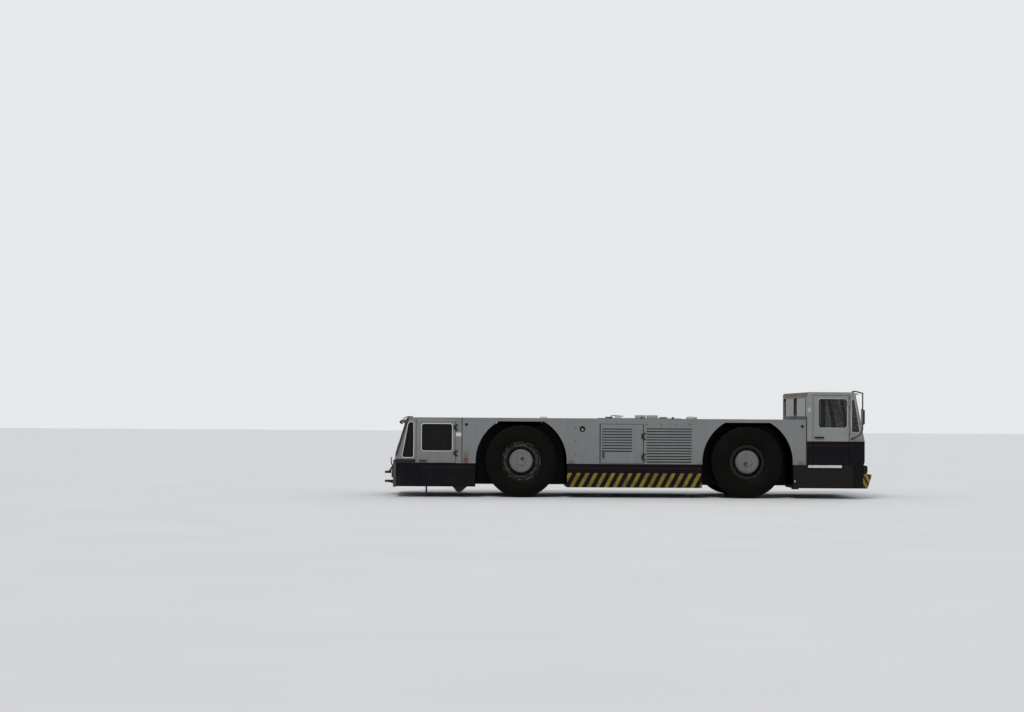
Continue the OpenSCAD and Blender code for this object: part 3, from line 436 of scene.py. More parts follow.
def low_base_paint():
    """Navy skirt with a thin red line, a dark brown strip behind the pale bumper plate."""
    material, shader = new_material("low base paint", Specular_IOR_Level=DARK_SHINE)
    where, x, y, z = places(shader)
    line = z.band(*BASE_LINE) * x.ramp(-4.15, -4.05)
    paint = line.mix(NAVY, DARK_RED)
    strip = x.band(-4.72, -4.63, 0.006) * z.ramp(0.36, 0.46, 1.0, 0.0)
    paint = strip.mix(paint, (0.010, 0.006, 0.003, 1))
    plate = x.ramp(-4.724, -4.722, 1.0, 0.0)
    paint = plate.mix(paint, (0.085, 0.078, 0.072, 1))
    finish_paint(shader, paint, 0.42, 0.2, 0.18, DARK_GRIME)
    return material


# The skirt's stripes: their pitch along X, the yellow share of it, where they start, and their lean
STRIPE_PITCH = 0.176
STRIPE_SHARE = 0.45
STRIPE_SHIFT = 17.685
STRIPE_LEAN = math.tan(math.radians(28))
SKIRT_TOP = 0.505


def skirt_paint():
    """Black and yellow warning stripes under a navy band with a thin red line."""
    material, shader = new_material("skirt paint", Specular_IOR_Level=DARK_SHINE)
    where, x, y, z = places(shader)
    along = x - z * STRIPE_LEAN + STRIPE_SHIFT
    turn = (along / STRIPE_PITCH).fraction()
    yellow_part = turn.band(0.03, STRIPE_SHARE + 0.03, 0.02)
    worn = where.noise(9.0, 8.0).ramp(0.35, 0.7, 1.0, 0.45)
    stripes = (yellow_part * worn).mix(BLACK, YELLOW)
    outer = side_depth(y).ramp(0.008, 0.012, 1.0, 0.0)
    on_skirt = z.ramp(SKIRT_TOP - 0.003, SKIRT_TOP, 1.0, 0.0) * outer
    paint = z.band(*BASE_LINE).mix(NAVY, DARK_RED)
    paint = on_skirt.mix(paint, stripes)
    finish_paint(shader, paint, 0.38, 0.2, 0.12, DARK_GRIME)
    return material


def wheel_place(node):
    """Distance from the nearest wheel's axis, the angle round it, y, and 1 on the rear wheels."""
    where, x, y, z = places(node)
    rear = x.ramp(0.1, 0.11, 1.0, 0.0)
    across = x - (rear * (REAR_AXLE_X - FRONT_AXLE_X) + FRONT_AXLE_X)
    up = z - AXLE_Z
    radius = (across * across + up * up).root()
    return where, radius, up.angle_from(across), y, rear


def tyre_rubber():
    """Worn black rubber: rings on the side wall and a block tread, with brake dust."""
    material, shader = new_material("tyre rubber", Specular_IOR_Level=0.05)
    where, radius, angle, y, rear = wheel_place(shader)
    rings = (radius * 190.0).sine() * radius.band(0.42, 0.70, 0.01) * 0.08
    inside = abs(y) - TYRE_Y
    groove = abs((inside * 38.0).sine())
    block_edge = (angle * 48.0 + abs(inside) * 3.0).sine()
    tread = groove.ramp(0.12, 0.24) * block_edge.ramp(-0.85, -0.7) * radius.ramp(0.722, 0.732) * 3.0
    out = place_group(shader, GRAIN, Base=TYRE_BLACK, Dust=TYRE_DUST, Dusty=0.25, Grain=160.0)
    brake_dust = radius.band(0.372, 0.392, 0.006) * where.noise(22.0, 6.0).ramp(0.42, 0.62) * rear
    relief = rings + tread + out["Height"] * 0.1
    dress(
        shader,
        Base_Color=(brake_dust * 0.6).mix(out["Color"], (0.13, 0.12, 0.105, 1)),
        Roughness=out["Roughness"],
        Normal=relief.bump(0.9, 0.006),
    )
    return material


def rim_paint():
    """Dirty black rim with a worn pale flange edge and a grey hub drum."""
    material, shader = new_material("rim paint", Specular_IOR_Level=0.2)
    where, radius, angle, y, rear = wheel_place(shader)
    hub = radius.ramp(0.2365, 0.2375, 1.0, 0.0)
    paint = hub.mix((0.006, 0.0055, 0.005, 1), HUB_GREY)
    edge = radius.band(0.29, 0.385, 0.01) * where.noise(16.0, 7.0).ramp(0.40, 0.6) * rear
    paint = (edge * 0.6).mix(paint, (0.070, 0.062, 0.052, 1))
    rings = (radius * 330.0).sine() * hub * 0.06
    out = place_group(shader, WEATHER, Paint=paint, Dirt=DARK_GRIME, Grime=0.4, Foot=0.3, Rust=0.25)
    relief = out["Height"] + rings
    dress(shader, Base_Color=out["Color"], Roughness=out["Roughness"], Normal=relief.bump(0.35))
    return material


def grained(name, base, dust=(0.10, 0.095, 0.085, 1), dusty=0.25, grain=300.0):
    """Moulded rubber or plastic. Higher grain is finer."""
    material, shader = new_material(name)
    out = place_group(shader, GRAIN, Base=base, Dust=dust, Dusty=dusty, Grain=grain)
    relief = out["Height"].bump(0.25, 0.001)
    dress(shader, Base_Color=out["Color"], Roughness=out["Roughness"], Normal=relief)
    return material


def window_glass(name, tint, dusty, bending):
    """Tinted safety glass with dried dirt. The raised cab's rear panes keep a tint of their own."""
    material, shader = new_material(name, Transmission_Weight=1.0, IOR=bending)
    where, x, y, z = places(shader)
    rear = x.band(HIGH_REAR_X - 0.05, HIGH_REAR_X + 0.05)
    tint = rear.mix(tint, (0.085, 0.078, 0.074, 1))
    film = where.noise(2.5, 7.0).ramp(0.35, 0.8)
    dress(
        shader,
        Base_Color=(film * dusty).mix(tint, (0.16, 0.155, 0.145, 1)),
        Roughness=film.ramp(0.0, 1.0, 0.02, 0.02 + dusty * 0.5),
    )
    return material


def warning_stripes(x, y, z):
    """Yellow stripes on black that lean across the front end's pieces."""
    return (x * 9.0 + z * 5.0 + y * 4.0).fraction().band(0.0, 0.6, 0.05).mix(BLACK, YELLOW)


def jaw_paint():
    """Stripes under black on the front jaw, and red-brown over black on the rear one."""
    material, shader = new_material("jaw paint", Specular_IOR_Level=0.2)
    where, x, y, z = places(shader)
    front = z.ramp(0.50, 0.515).mix(warning_stripes(x, y, z), BLACK)
    rear = z.ramp(0.46, 0.50).mix(BLACK, (0.040, 0.013, 0.011, 1))
    paint = x.ramp(-0.1, 0.1).mix(rear, front)
    finish_paint(shader, paint, 0.5, 0.2, 0.6, DARK_GRIME)
    return material


def raised_base_paint():
    """Dusty black, blacker at the front corner."""
    material, shader = new_material("raised base paint", Specular_IOR_Level=DARK_SHINE)
    where, x, y, z = places(shader)
    corner = x.band(4.596, 4.83, 0.004)
    paint = corner.mix((0.0125, 0.0115, 0.010, 1), BLACK)
    finish_paint(shader, paint, 0.45, 0.2, 0.1, DARK_GRIME)
    return material


def bumper_stripes():
    """Worn warning stripes that lean across the bumper halves."""
    material, shader = new_material("bumper stripes", Specular_IOR_Level=0.2)
    where, x, y, z = places(shader)
    finish_paint(shader, warning_stripes(x, y, z), 0.45, 0.2, 0.4, DARK_GRIME)
    return material


# Middle of the filler cap's painted highlight, a white dot, and where the painted shade round it starts, as
# radius squared
FILLER_X = -0.936
FILLER_Z = 1.383
FILLER_EDGE = (0.00022, 0.00032)


def fittings_paint():
    """White deck covers and tie-down eyes, painted shade in the filler recess round a small painted
    highlight on the cap, and a dark earthing strap.
    """
    material, shader = new_material("fittings paint", Specular_IOR_Level=0.3)
    where, x, y, z = places(shader)
    across = x - FILLER_X
    up = z - FILLER_Z
    # Painted shade: black over the fittings in the side plates' recesses, with a white painted highlight at
    # the filler cap's middle
    recess = (across * across + up * up).ramp(*FILLER_EDGE) * z.band(0.7, DECK_Z - 0.02)
    strap = z.ramp(0.212, 0.216, 1.0, 0.0) * x.ramp(-3.0, -2.9, 1.0, 0.0)
    paint = recess.at_least(strap).mix(WHITE, BLACK)
    finish_paint(shader, paint, 0.2, 1.3, 0.2)
    return material


def lamp_lens():
    """Black bezel round a clear, ribbed lens."""
    material, shader = new_material("lamp lens", Coat_Weight=0.6)
    where, x, y, z = places(shader)
    lens = (abs(x).band(4.808, 4.83, 0.001) + abs(x).ramp(4.868, 4.869)).at_most(1.0)
    ribs = (y * 520.0).sine()
    film = where.noise(30.0, 6.0).ramp(0.4, 0.8)
    glass = (film * 0.4).mix((0.55, 0.56, 0.55, 1), (0.16, 0.15, 0.13, 1))
    dress(
        shader,
        Base_Color=lens.mix(BLACK, glass),
        Roughness=lens.ramp(0.0, 1.0, 0.5, 0.12),
        Normal=(ribs * lens).bump(0.3, 0.001),
    )
    return material


def metal(name, colour, rough, grime=0.3):
    """Bare metal under a film of grime."""
    material, shader = new_material(name, Metallic=1.0)
    where = places(shader)[0]
    film = where.noise(12.0, 8.0).ramp(0.4, 0.8)
    dress(
        shader,
        Base_Color=(film * grime).mix(colour, (0.05, 0.04, 0.03, 1)),
        Roughness=film.ramp(0.0, 1.0, rough, min(1.0, rough + 0.4)),
        Normal=where.noise(180.0).bump(0.1, 0.001),
    )
    return material


def seat_cloth():
    """Dark woven cloth: two crossed sets of threads."""
    material, shader = new_material("seat cloth", Sheen_Weight=0.3)
    where, x, y, z = places(shader)
    weave = ((x + z) * 1500.0).sine() * (y * 1500.0).sine()
    fade = where.noise(6.0, 5.0).ramp(0.3, 0.8)
    thread = weave.ramp(-1.0, 1.0).mix((0.012, 0.013, 0.016, 1), (0.035, 0.036, 0.042, 1))
    dress(
        shader,
        Base_Color=(fade * 0.4).mix(thread, (0.06, 0.058, 0.055, 1)),
        Roughness=0.9,
        Normal=weave.bump(0.4, 0.0006),
    )
    return material


# Where the hatch's hoods stand: from and to along X and along Y
HOODS_X = (0.262, 0.728)
HOODS_Y = (-0.318, 0.018)
HOOD_WHITE = (0.36, 0.36, 0.34, 1)


def deck_paint(name, hoods=False):
    """Body paint with a raised diamond pattern on upper faces, and whitish hoods on the hatch."""
    material, shader = new_material(name, Specular_IOR_Level=0.3)
    where, x, y, z = places(shader)
    lozenge = (((x + y) * 150.0).sine() * ((x - y) * 150.0).sine()).ramp(0.55, 0.75)
    out = place_group(shader, WEATHER, Paint=GREY, Dirt=GRIME, Grime=0.6, Foot=1.3, Rust=0.3)
    colour = out["Color"]
    if hoods:
        hood = x.band(*HOODS_X) * y.band(*HOODS_Y) * z.ramp(DECK_Z + 0.0125, DECK_Z + 0.0135)
        colour = hood.mix(colour, HOOD_WHITE)
    relief = out["Height"] * 0.4 + lozenge * z.ramp(DECK_Z - 0.004, DECK_Z - 0.002)
    dress(shader, Base_Color=colour, Roughness=out["Roughness"], Normal=relief.bump(0.5, 0.003))
    return material


def lens_finish(name, colour):
    """Moulded lamp glass: fine ribs under a hard, slightly dusty skin."""
    material, shader = new_material(name, Coat_Weight=0.7, Coat_Roughness=0.05)
    where, x, y, z = places(shader)
    film = where.noise(30.0, 6.0).ramp(0.4, 0.8)
    ribs = (y * 700.0).sine()
    dress(
        shader,
        Base_Color=(film * 0.35).mix(colour, (0.12, 0.11, 0.10, 1)),
        Roughness=film.ramp(0.0, 1.0, 0.15, 0.6),
        Normal=ribs.bump(0.35, 0.0012),
    )
    return material


def dial_face():
    """A black dial with a ring of pale marks."""
    material, shader = new_material("dial", Coat_Weight=0.5)
    where, x, y, z = places(shader)
    marks = (z * 620.0).sine().ramp(0.75, 0.85)
    dress(
        shader,
        Base_Color=marks.mix((0.008, 0.008, 0.008, 1), (0.35, 0.35, 0.33, 1)),
        Roughness=where.noise(60.0).ramp(0.3, 0.7, 0.25, 0.5),
    )
    return material


MATERIALS = {
    "deck grey": deck_paint("deck grey"),
    "hatch": deck_paint("hatch grey", hoods=True),
    "hub grey": painted("hub grey", HUB_GREY, 0.4, 0.3, 0.25),
    "louvred grey": louvred_grey(),
    "raised cab": raised_cab_paint(),
    "low cab": low_cab_paint(),
    "low base": low_base_paint(),
    "skirt": skirt_paint(),
    "raised base": raised_base_paint(),
    "bumper stripes": bumper_stripes(),
    "fittings": fittings_paint(),
    "arch black": painted(
        "arch black", (0.0012, 0.0012, 0.0012, 1), 0.25, 0.2, 0.05, (0.003, 0.0028, 0.0025, 1), 0.02
    ),
    "chassis black": painted("chassis black", (0.006, 0.006, 0.006, 1), 0.45, 0.2, 0.4, DARK_GRIME, 0.15),
    "engine grey": painted("engine grey", (0.10, 0.12, 0.11, 1), 0.6, 0.5, 0.3, DARK_GRIME),
    "white paint": painted("white paint", WHITE, 0.25, 1.5, 0.2),
    "plate grey": painted("plate grey", (0.40, 0.41, 0.37, 1), 0.25, 1.5, 0.2),
    "tyre": tyre_rubber(),
    "rim": rim_paint(),
    "jaw": jaw_paint(),
    "dark glass": window_glass("dark glass", (0.040, 0.040, 0.037, 1), 0.05, 1.29),
    "clear glass": window_glass("clear glass", (0.20, 0.205, 0.205, 1), 0.08, 1.34),
    "lamp": lamp_lens(),
    "lens glass": lens_finish("lens glass", (0.62, 0.63, 0.62, 1)),
    "mirror shell": grained("mirror shell", (0.012, 0.012, 0.013, 1)),
    "console": grained("console", (0.030, 0.031, 0.033, 1), dusty=0.3, grain=420.0),
    "pale rubber": grained("pale rubber", (0.78, 0.77, 0.74, 1), (0.42, 0.40, 0.37, 1), 0.25, 200.0),
    "black rubber": grained("black rubber", (0.012, 0.012, 0.012, 1), dusty=0.15, grain=200.0),
    "steel": metal("steel", (0.42, 0.41, 0.40, 1), 0.35),
    "bare bolt": metal("bare bolt", (0.10, 0.09, 0.08, 1), 0.5, 0.6),
    "mirror glass": metal("mirror glass", (0.85, 0.87, 0.88, 1), 0.03, 0.05),
    "seat cloth": seat_cloth(),
    "dial": dial_face(),
}

# The finish of each CAD node, by its name without the side, or by its first word
CAD_FINISH = {
    "main_frame": "chassis black", "axles": "chassis black", "knuckle": "chassis black",
    "prop_shafts": "steel", "tie": "steel", "engine": "engine grey", "tyre": "tyre", "rim": "rim",
    "side_plates": "louvred grey", "grilles": "louvred grey", "service_door": "louvred grey",
    "wheel_arches": "arch black", "deck": "deck grey", "engine_hatch": "hatch", "sills": "skirt",
    "fittings": "fittings", "steps": "raised base", "tow_jaws": "jaw", "mirrors": "mirror shell",
    "lamps": "lamp",
    "low_cab_base": "low base", "low_cab_shell": "low cab", "low_cab_glass": "dark glass",
    "low_door": "low cab", "low_door_glass": "dark glass",
    "high_cab_base": "raised base", "high_cab_shell": "raised cab", "high_cab_glass": "clear glass",
    "high_door": "raised cab", "high_door_glass": "clear glass",
    "seats": "seat cloth", "consoles": "console",
}


def finish_cad_nodes():
    for name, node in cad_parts.items():
        part = name.replace("_right", "").replace("_left", "")
        finish = CAD_FINISH.get(part) or CAD_FINISH[part.split("_")[0]]
        node.data.materials.clear()
        node.data.materials.append(MATERIALS[finish])


finish_cad_nodes()


# Modelling helpers

def clear_selection():
    if bpy.context.object and bpy.context.object.mode != "OBJECT":
        bpy.ops.object.mode_set(mode="OBJECT")
    bpy.ops.object.select_all(action="DESELECT")


def select_only(piece):
    clear_selection()
    piece.select_set(True)
    bpy.context.view_layer.objects.active = piece


def edit(piece):
    """Open a piece in edit mode, with everything in it selected."""
    select_only(piece)
    bpy.ops.object.mode_set(mode="EDIT")
    bpy.ops.mesh.select_all(action="SELECT")


def stop_editing():
    bpy.ops.object.mode_set(mode="OBJECT")


def pick_faces(piece, test):
    """Select only the faces whose middle and normal pass the test."""
    bpy.ops.mesh.select_mode(type="FACE")
    bpy.ops.mesh.select_all(action="DESELECT")
    mesh = bmesh.from_edit_mesh(piece.data)
    for face in mesh.faces:
        if test(face.calc_center_median(), face.normal):
            face.select_set(True)
    bmesh.update_edit_mesh(piece.data)


def pick_edges(piece, test):
    """Select only the edges whose two ends pass the test."""
    bpy.ops.mesh.select_mode(type="EDGE")
    bpy.ops.mesh.select_all(action="DESELECT")
    mesh = bmesh.from_edit_mesh(piece.data)
    for edge in mesh.edges:
        if test(edge.verts[0].co, edge.verts[1].co):
            edge.select_set(True)
    bmesh.update_edit_mesh(piece.data)


def place(piece, matrix):
    """Put a finished piece where matrix says, and keep the place in its mesh."""
    piece.matrix_world = matrix @ piece.matrix_world
    select_only(piece)
    bpy.ops.object.transform_apply(location=True, rotation=True, scale=True)
    return piece


def apply_modifier(piece, kind, **settings):
    select_only(piece)
    modifier = piece.modifiers.new(kind.lower(), kind)
    for name, value in settings.items():
        setattr(modifier, name, value)
    bpy.ops.object.modifier_apply(modifier=modifier.name)
    return piece


def rounded_edges(piece, width, segments=2):
    return apply_modifier(piece, "BEVEL", width=width, segments=segments, limit_method="ANGLE")


def smooth(piece, degrees=35):
    select_only(piece)
    bpy.ops.object.shade_smooth_by_angle(angle=math.radians(degrees))
    return piece


def block(centre, size):
    clear_selection()
    bpy.ops.mesh.primitive_cube_add(size=1, location=centre, scale=size)
    bpy.ops.object.transform_apply(location=True, rotation=True, scale=True)
    return bpy.context.object


# How a cylinder that points up is turned to point along each direction
TURNS = {
    "+z": (0, 0, 0), "-z": (math.pi, 0, 0), "+x": (0, math.pi / 2, 0),
    "-x": (0, -math.pi / 2, 0), "-y": (math.pi / 2, 0, 0), "+y": (-math.pi / 2, 0, 0),
}


def sign(way):
    """1 or -1 for a direction such as +x or -x."""
    return -1 if way[0] == "-" else 1


def facing(way):
    """A test for faces that look along a direction."""
    axis = "xyz".index(way[1])
    return lambda middle, normal: normal[axis] * sign(way) > 0.9


def inset_faces(piece, way, *steps):
    """Inset the faces that look along way, once for each thickness and depth."""
    edit(piece)
    pick_faces(piece, facing(way))
    for thickness, depth in steps:
        bpy.ops.mesh.inset(thickness=thickness, depth=depth)
    stop_editing()
    return piece


def tapered(piece, way, scale, centre):
    """Scale the faces that look along way about centre."""
    edit(piece)
    pick_faces(piece, facing(way))
    bpy.ops.transform.resize(value=scale, center_override=centre)
    stop_editing()
    return piece


def drum(foot, way, radius, depth, sides=32):
    """A cylinder that stands on foot and points along way."""
    clear_selection()
    middle = (0, 0, depth / 2)
    bpy.ops.mesh.primitive_cylinder_add(vertices=sides, radius=radius, depth=depth, location=middle)
    bpy.ops.object.transform_apply(location=True, rotation=True, scale=True)
    drum_piece = bpy.context.object
    drum_piece.location = foot
    drum_piece.rotation_euler = TURNS[way]
    bpy.ops.object.transform_apply(location=True, rotation=True, scale=True)
    return drum_piece


def copied(piece, shift=(0, 0, 0)):
    """A copy with its own mesh, moved in its mesh."""
    select_only(piece)
    bpy.ops.object.duplicate(linked=False)
    twin = bpy.context.object
    edit(twin)
    bpy.ops.transform.translate(value=shift)
    stop_editing()
    return twin


def mirrored(piece):
    """A copy on the other side of the middle."""
    twin = copied(piece)
    edit(twin)
    bpy.ops.transform.resize(value=(1, -1, 1), center_override=(0, 0, 0))
    bpy.ops.mesh.flip_normals()
    stop_editing()
    return twin


def repeated(piece, shifts):
    """Copies of the whole shape inside the same piece, one at each shift."""
    edit(piece)
    before = Vector((0, 0, 0))
    for shift in shifts:
        step = Vector(shift) - before
        bpy.ops.mesh.duplicate_move(TRANSFORM_OT_translate={"value": step})
        before = Vector(shift)
    stop_editing()
    return piece


def joined(pieces):
    clear_selection()
    for piece in pieces:
        piece.select_set(True)
    bpy.context.view_layer.objects.active = pieces[0]
    bpy.ops.object.join()
    return pieces[0]


def finished(piece, name, finish, body):
    """Name a piece, give it its finish and let it ride on a body."""
    piece.name = name
    piece.data.name = name
    piece.data.materials.clear()
    piece.data.materials.append(MATERIALS[finish])
    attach(piece, body)
    return piece


def pair(piece, name, finish):
    """Finish a piece as the right one of a pair, and its mirrored twin as the left one."""
    sides = ((mirrored(piece), "left"), (piece, "right"))
    return [finished(one, f"{name}_{side}", finish, "chassis") for one, side in sides]


def frame_at(origin, across, up):
    """A flat place: its own x runs across, its own y runs up, and its own z points out."""
    across = Vector(across).normalized()
    up = Vector(up).normalized()
    out = across.cross(up)
    return Matrix.Translation(origin) @ Matrix((across, up, out)).transposed().to_4x4()


RIGHT_WALL = frame_at((0, -SIDE_Y, 0), (1, 0, 0), (0, 0, 1))
LOW_FRONT = frame_at((LOW_FRONT_X, 0, LOW_SILL_Z), (0, -1, 0), (LOW_LEAN, 0, DECK_Z - LOW_SILL_Z))
HIGH_FRONT = frame_at((HIGH_FRONT_X, 0, WAIST_Z), (0, 1, 0), (-HIGH_LEAN, 0, ROOF_Z - WAIST_Z))
HIGH_REAR = frame_at((HIGH_REAR_X, 0, 0), (0, -1, 0), (0, 0, 1))
LOW_SLOPE = math.hypot(LOW_LEAN, DECK_Z - LOW_SILL_Z) / (DECK_Z - LOW_SILL_Z)
HIGH_SLOPE = math.hypot(HIGH_LEAN, ROOF_Z - WAIST_Z) / (ROOF_Z - WAIST_Z)


# Window rubbers

def window_rubber(outline, radius, inside, outside, proud, where):
    """A rubber frame round a window: a plane cut to the outline, its corners rounded,
    grown and hollowed by insets, then thickened outwards."""
    clear_selection()
    bpy.ops.mesh.primitive_plane_add(size=1)
    ring = bpy.context.object
    corners = sorted(outline, key=lambda p: (p[1], p[0]))
    low, high = sorted(corners[:2]), sorted(corners[2:])
    for vertex in ring.data.vertices:
        row = low if vertex.co.y < 0 else high
        point = row[0] if vertex.co.x < 0 else row[1]
        vertex.co = (point[0], point[1], -0.002)
    edit(ring)
    bpy.ops.mesh.bevel(offset=radius, offset_type="OFFSET", segments=6, affect="VERTICES")
    bpy.ops.mesh.select_all(action="SELECT")
    bpy.ops.mesh.inset(thickness=outside, use_outset=True, use_boundary=True)
    bpy.ops.mesh.inset(thickness=inside)
    bpy.ops.mesh.delete(type="FACE")
    stop_editing()
    apply_modifier(ring, "SOLIDIFY", thickness=proud + 0.002, offset=1)
    rounded_edges(ring, min(0.003, proud * 0.4))
    smooth(ring)
    return place(ring, where)


def rect(x0, z0, x1, z1):
    return [(x0, z0), (x1, z0), (x1, z1), (x0, z1)]


LOW_QUARTER = [(-4.615, 0.795), (-4.36, 0.795), (-4.36, 1.53), (-4.478, 1.53)]
HIGH_QUARTER = [(4.57, 1.36), (4.743, 1.36), (4.627, 2.046), (4.57, 2.046)]
LOW_DOOR_PANE = rect(-4.213, 0.93, -3.576, 1.495)
HIGH_DOOR_PANE = rect(3.88, 1.448, 4.482, 2.048)
LOW_SCREEN = rect(0.035, 0.04 * LOW_SLOPE, 1.39, 0.70 * LOW_SLOPE)
HIGH_SCREEN = rect(0.035, 0.05 * HIGH_SLOPE, 1.39, 0.895 * HIGH_SLOPE)
REAR_SCREEN = rect(0.035, 1.675, 1.39, 2.07)

# Name, outline, corner radius, reach inside and outside it, height, place, finish, door that it rides on
RUBBERS = [
    ("low_door_rubber", LOW_DOOR_PANE, 0.055, 0.010, 0.026, 0.007, RIGHT_WALL, "pale rubber", "low_door"),
    ("low_quarter_rubber", LOW_QUARTER, 0.055, 0.010, 0.022, 0.007, RIGHT_WALL, "pale rubber", None),
    ("high_door_rubber", HIGH_DOOR_PANE, 0.055, 0.005, 0.016, 0.005, RIGHT_WALL, "pale rubber", "high_door"),
    ("high_quarter_rubber", HIGH_QUARTER, 0.0275, 0.005, 0.014, 0.005, RIGHT_WALL, "pale rubber", None),
    ("low_screen_rubber", LOW_SCREEN, 0.055, 0.008, 0.024, 0.012, LOW_FRONT, "black rubber", None),
    ("high_screen_rubber", HIGH_SCREEN, 0.055, 0.008, 0.020, 0.010, HIGH_FRONT, "black rubber", None),
    ("rear_screen_rubber", REAR_SCREEN, 0.055, 0.008, 0.018, 0.008, HIGH_REAR, "black rubber", None),
]


def window_rubbers():
    for name, outline, radius, inside, outside, proud, where, finish, body in RUBBERS:
        ring = window_rubber(outline, radius, inside, outside, proud, where)
        twin = mirrored(ring)
        sides = ("right", "left") if ring.data.vertices[0].co.y < 0 else ("left", "right")
        for piece, side in ((ring, sides[0]), (twin, sides[1])):
            finished(piece, f"{name}_{side}", finish, f"{body}_{side}" if body else "chassis")


# Tyres and the wheels' details

TYRE_STEPS = 144
LUG_EVERY = 6

# One side of the tyre's section, from the bead to the middle of the tread: radius, half width
TYRE_SIDE = [
    (0.3193, 0.1499), (0.357, 0.1532), (0.371, 0.188), (0.384, 0.197), (0.405, 0.203), (0.432, 0.210),
    (0.4605, 0.2165), (0.466, 0.2215), (0.474, 0.222), (0.480, 0.2195), (0.512, 0.2255), (0.547, 0.2295),
    (0.590, 0.2290), (0.630, 0.2255), (0.648, 0.2225), (0.652, 0.2270), (0.664, 0.2255), (0.668, 0.2200),
    (0.690, 0.2165), (0.710, 0.2130), (0.722, 0.2095), (0.732, 0.2000), (0.7375, 0.1860), (0.7395, 0.1640),
    (0.7400, 0.1370), (0.7290, 0.1345), (0.7290, 0.1245), (0.7400, 0.1220), (0.7400, 0.0480),
    (0.7290, 0.0455), (0.7290, 0.0355), (0.7400, 0.0330),
]


def tyre(centre_x):
    """A worn tyre: its section is spun round the axle, then notches are sunk in its shoulders."""
    section = [(r, -w) for r, w in TYRE_SIDE] + [(r, w) for r, w in reversed(TYRE_SIDE)]
    clear_selection()
    bpy.ops.mesh.primitive_circle_add(vertices=len(section), radius=1)
    piece = bpy.context.object
    for vertex, (radius, across) in zip(piece.data.vertices, section):
        vertex.co = (centre_x, -TYRE_Y + across, AXLE_Z + radius)
    edit(piece)
    bpy.ops.mesh.spin(steps=TYRE_STEPS, angle=2 * math.pi, center=(centre_x, 0, AXLE_Z), axis=(0, 1, 0))
    bpy.ops.mesh.select_all(action="SELECT")
    bpy.ops.mesh.remove_doubles(threshold=0.0002)
    bpy.ops.mesh.normals_make_consistent(inside=False)
    pitch = 2 * math.pi / TYRE_STEPS

    def in_notch(middle, normal):
        out = middle.y + TYRE_Y
        radius = math.hypot(middle.x - centre_x, middle.z - AXLE_Z)
        step = math.floor(math.atan2(middle.x - centre_x, middle.z - AXLE_Z) / pitch)
        turn = 0 if out > 0 else LUG_EVERY // 2
        return 0.138 < abs(out) < 0.212 and radius > 0.713 and (step + turn) % LUG_EVERY == 0

    pick_faces(piece, in_notch)
    bpy.ops.mesh.inset(thickness=0.0015, depth=-0.018)
    stop_editing()
    return smooth(piece, 32)


# The off-centre plug on the hub's face, along X and Z from the axis
FRONT_PLUG = (-0.040, -0.029)
REAR_PLUG = (0.022, 0.049)
HUB_BOLTS = 12
HUB_BOLT_RING = 0.188
WHEEL_NUTS = 10
WHEEL_NUT_RING = 0.27
WHEEL_NUT_Y = 1.2045


def ring_of(piece, centre_x, count):
    """Copies of a piece round a wheel's axis, in the same mesh."""
    turn = 2 * math.pi * (count - 1) / count
    edit(piece)
    bpy.ops.mesh.spin(steps=count - 1, dupli=True, angle=turn, center=(centre_x, 0, AXLE_Z), axis=(0, 1, 0))
    stop_editing()
    return smooth(piece)


def wheel_details(centre_x, plug_at):
    """Bolts on the hub, its plug, and the nuts deep in the rim, for a wheel on the right side."""
    bolt = drum((centre_x, -HUB_FACE_Y, AXLE_Z + HUB_BOLT_RING), "-y", 0.013, 0.011, 6)
    rounded_edges(bolt, 0.002)
    across, up = plug_at
    hub_plug = drum((centre_x + across, -HUB_FACE_Y - 0.014, AXLE_Z + up), "-y", 0.036, 0.012, 24)
    inset_faces(hub_plug, "-y", (0.008, 0.004), (0.010, -0.006))
    rounded_edges(hub_plug, 0.0015)
    across = WHEEL_NUT_RING * math.sin(math.pi / WHEEL_NUTS)
    up = WHEEL_NUT_RING * math.cos(math.pi / WHEEL_NUTS)
    nut = drum((centre_x + across, -WHEEL_NUT_Y, AXLE_Z + up), "-y", 0.021, 0.028, 6)
    rounded_edges(nut, 0.003)
    return {
        "hub_bolts": (ring_of(bolt, centre_x, HUB_BOLTS), "hub grey"),
        "hub_plug": (smooth(hub_plug), "black rubber"),
        "wheel_nuts": (ring_of(nut, centre_x, WHEEL_NUTS), "bare bolt"),
    }


def wheels():
    """The front right wheel's pieces are made first, then copied to the other three wheels."""
    parts = {"tyre_tread": (tyre(FRONT_AXLE_X), "tyre"), **wheel_details(FRONT_AXLE_X, FRONT_PLUG)}
    to_rear = Vector((REAR_AXLE_X - FRONT_AXLE_X, 0, 0))
    plug_shift = Vector((REAR_PLUG[0] - FRONT_PLUG[0], 0, REAR_PLUG[1] - FRONT_PLUG[1]))
    for part, (piece, finish) in parts.items():
        rear = copied(piece, to_rear + plug_shift if part == "hub_plug" else to_rear)
        rows = (
            (piece, "front", "right"), (mirrored(piece), "front", "left"),
            (rear, "rear", "right"), (mirrored(rear), "rear", "left"),
        )
        for one, end, side in rows:
            finished(one, f"{part}_{end}_{side}", finish, f"wheel_{end}_{side}")
            if part == "tyre_tread":
                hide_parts(f"tyre_{end}_{side}")


# Seats

HIGH_SEAT_X = 4.083
LOW_SEAT_X = -3.955
CUSHION_Z = 1.055
BACK_Z = 1.33
BACK_TOP_Z = 1.595
# How much lower the low cab's seats stand, and how much shorter their stands are
SEAT_DROP = 0.315
STAND_CUT = 0.04
# Rise and growth of each fold of the stand's bellows, from its foot up
BELLOWS = [
    (0.05, 0.82), (0.035, 1.14), (0.035, 0.88), (0.035, 1.14), (0.035, 0.88), (0.035, 1.14), (0.04, 0.9),
    (0.012, 1.12),
]


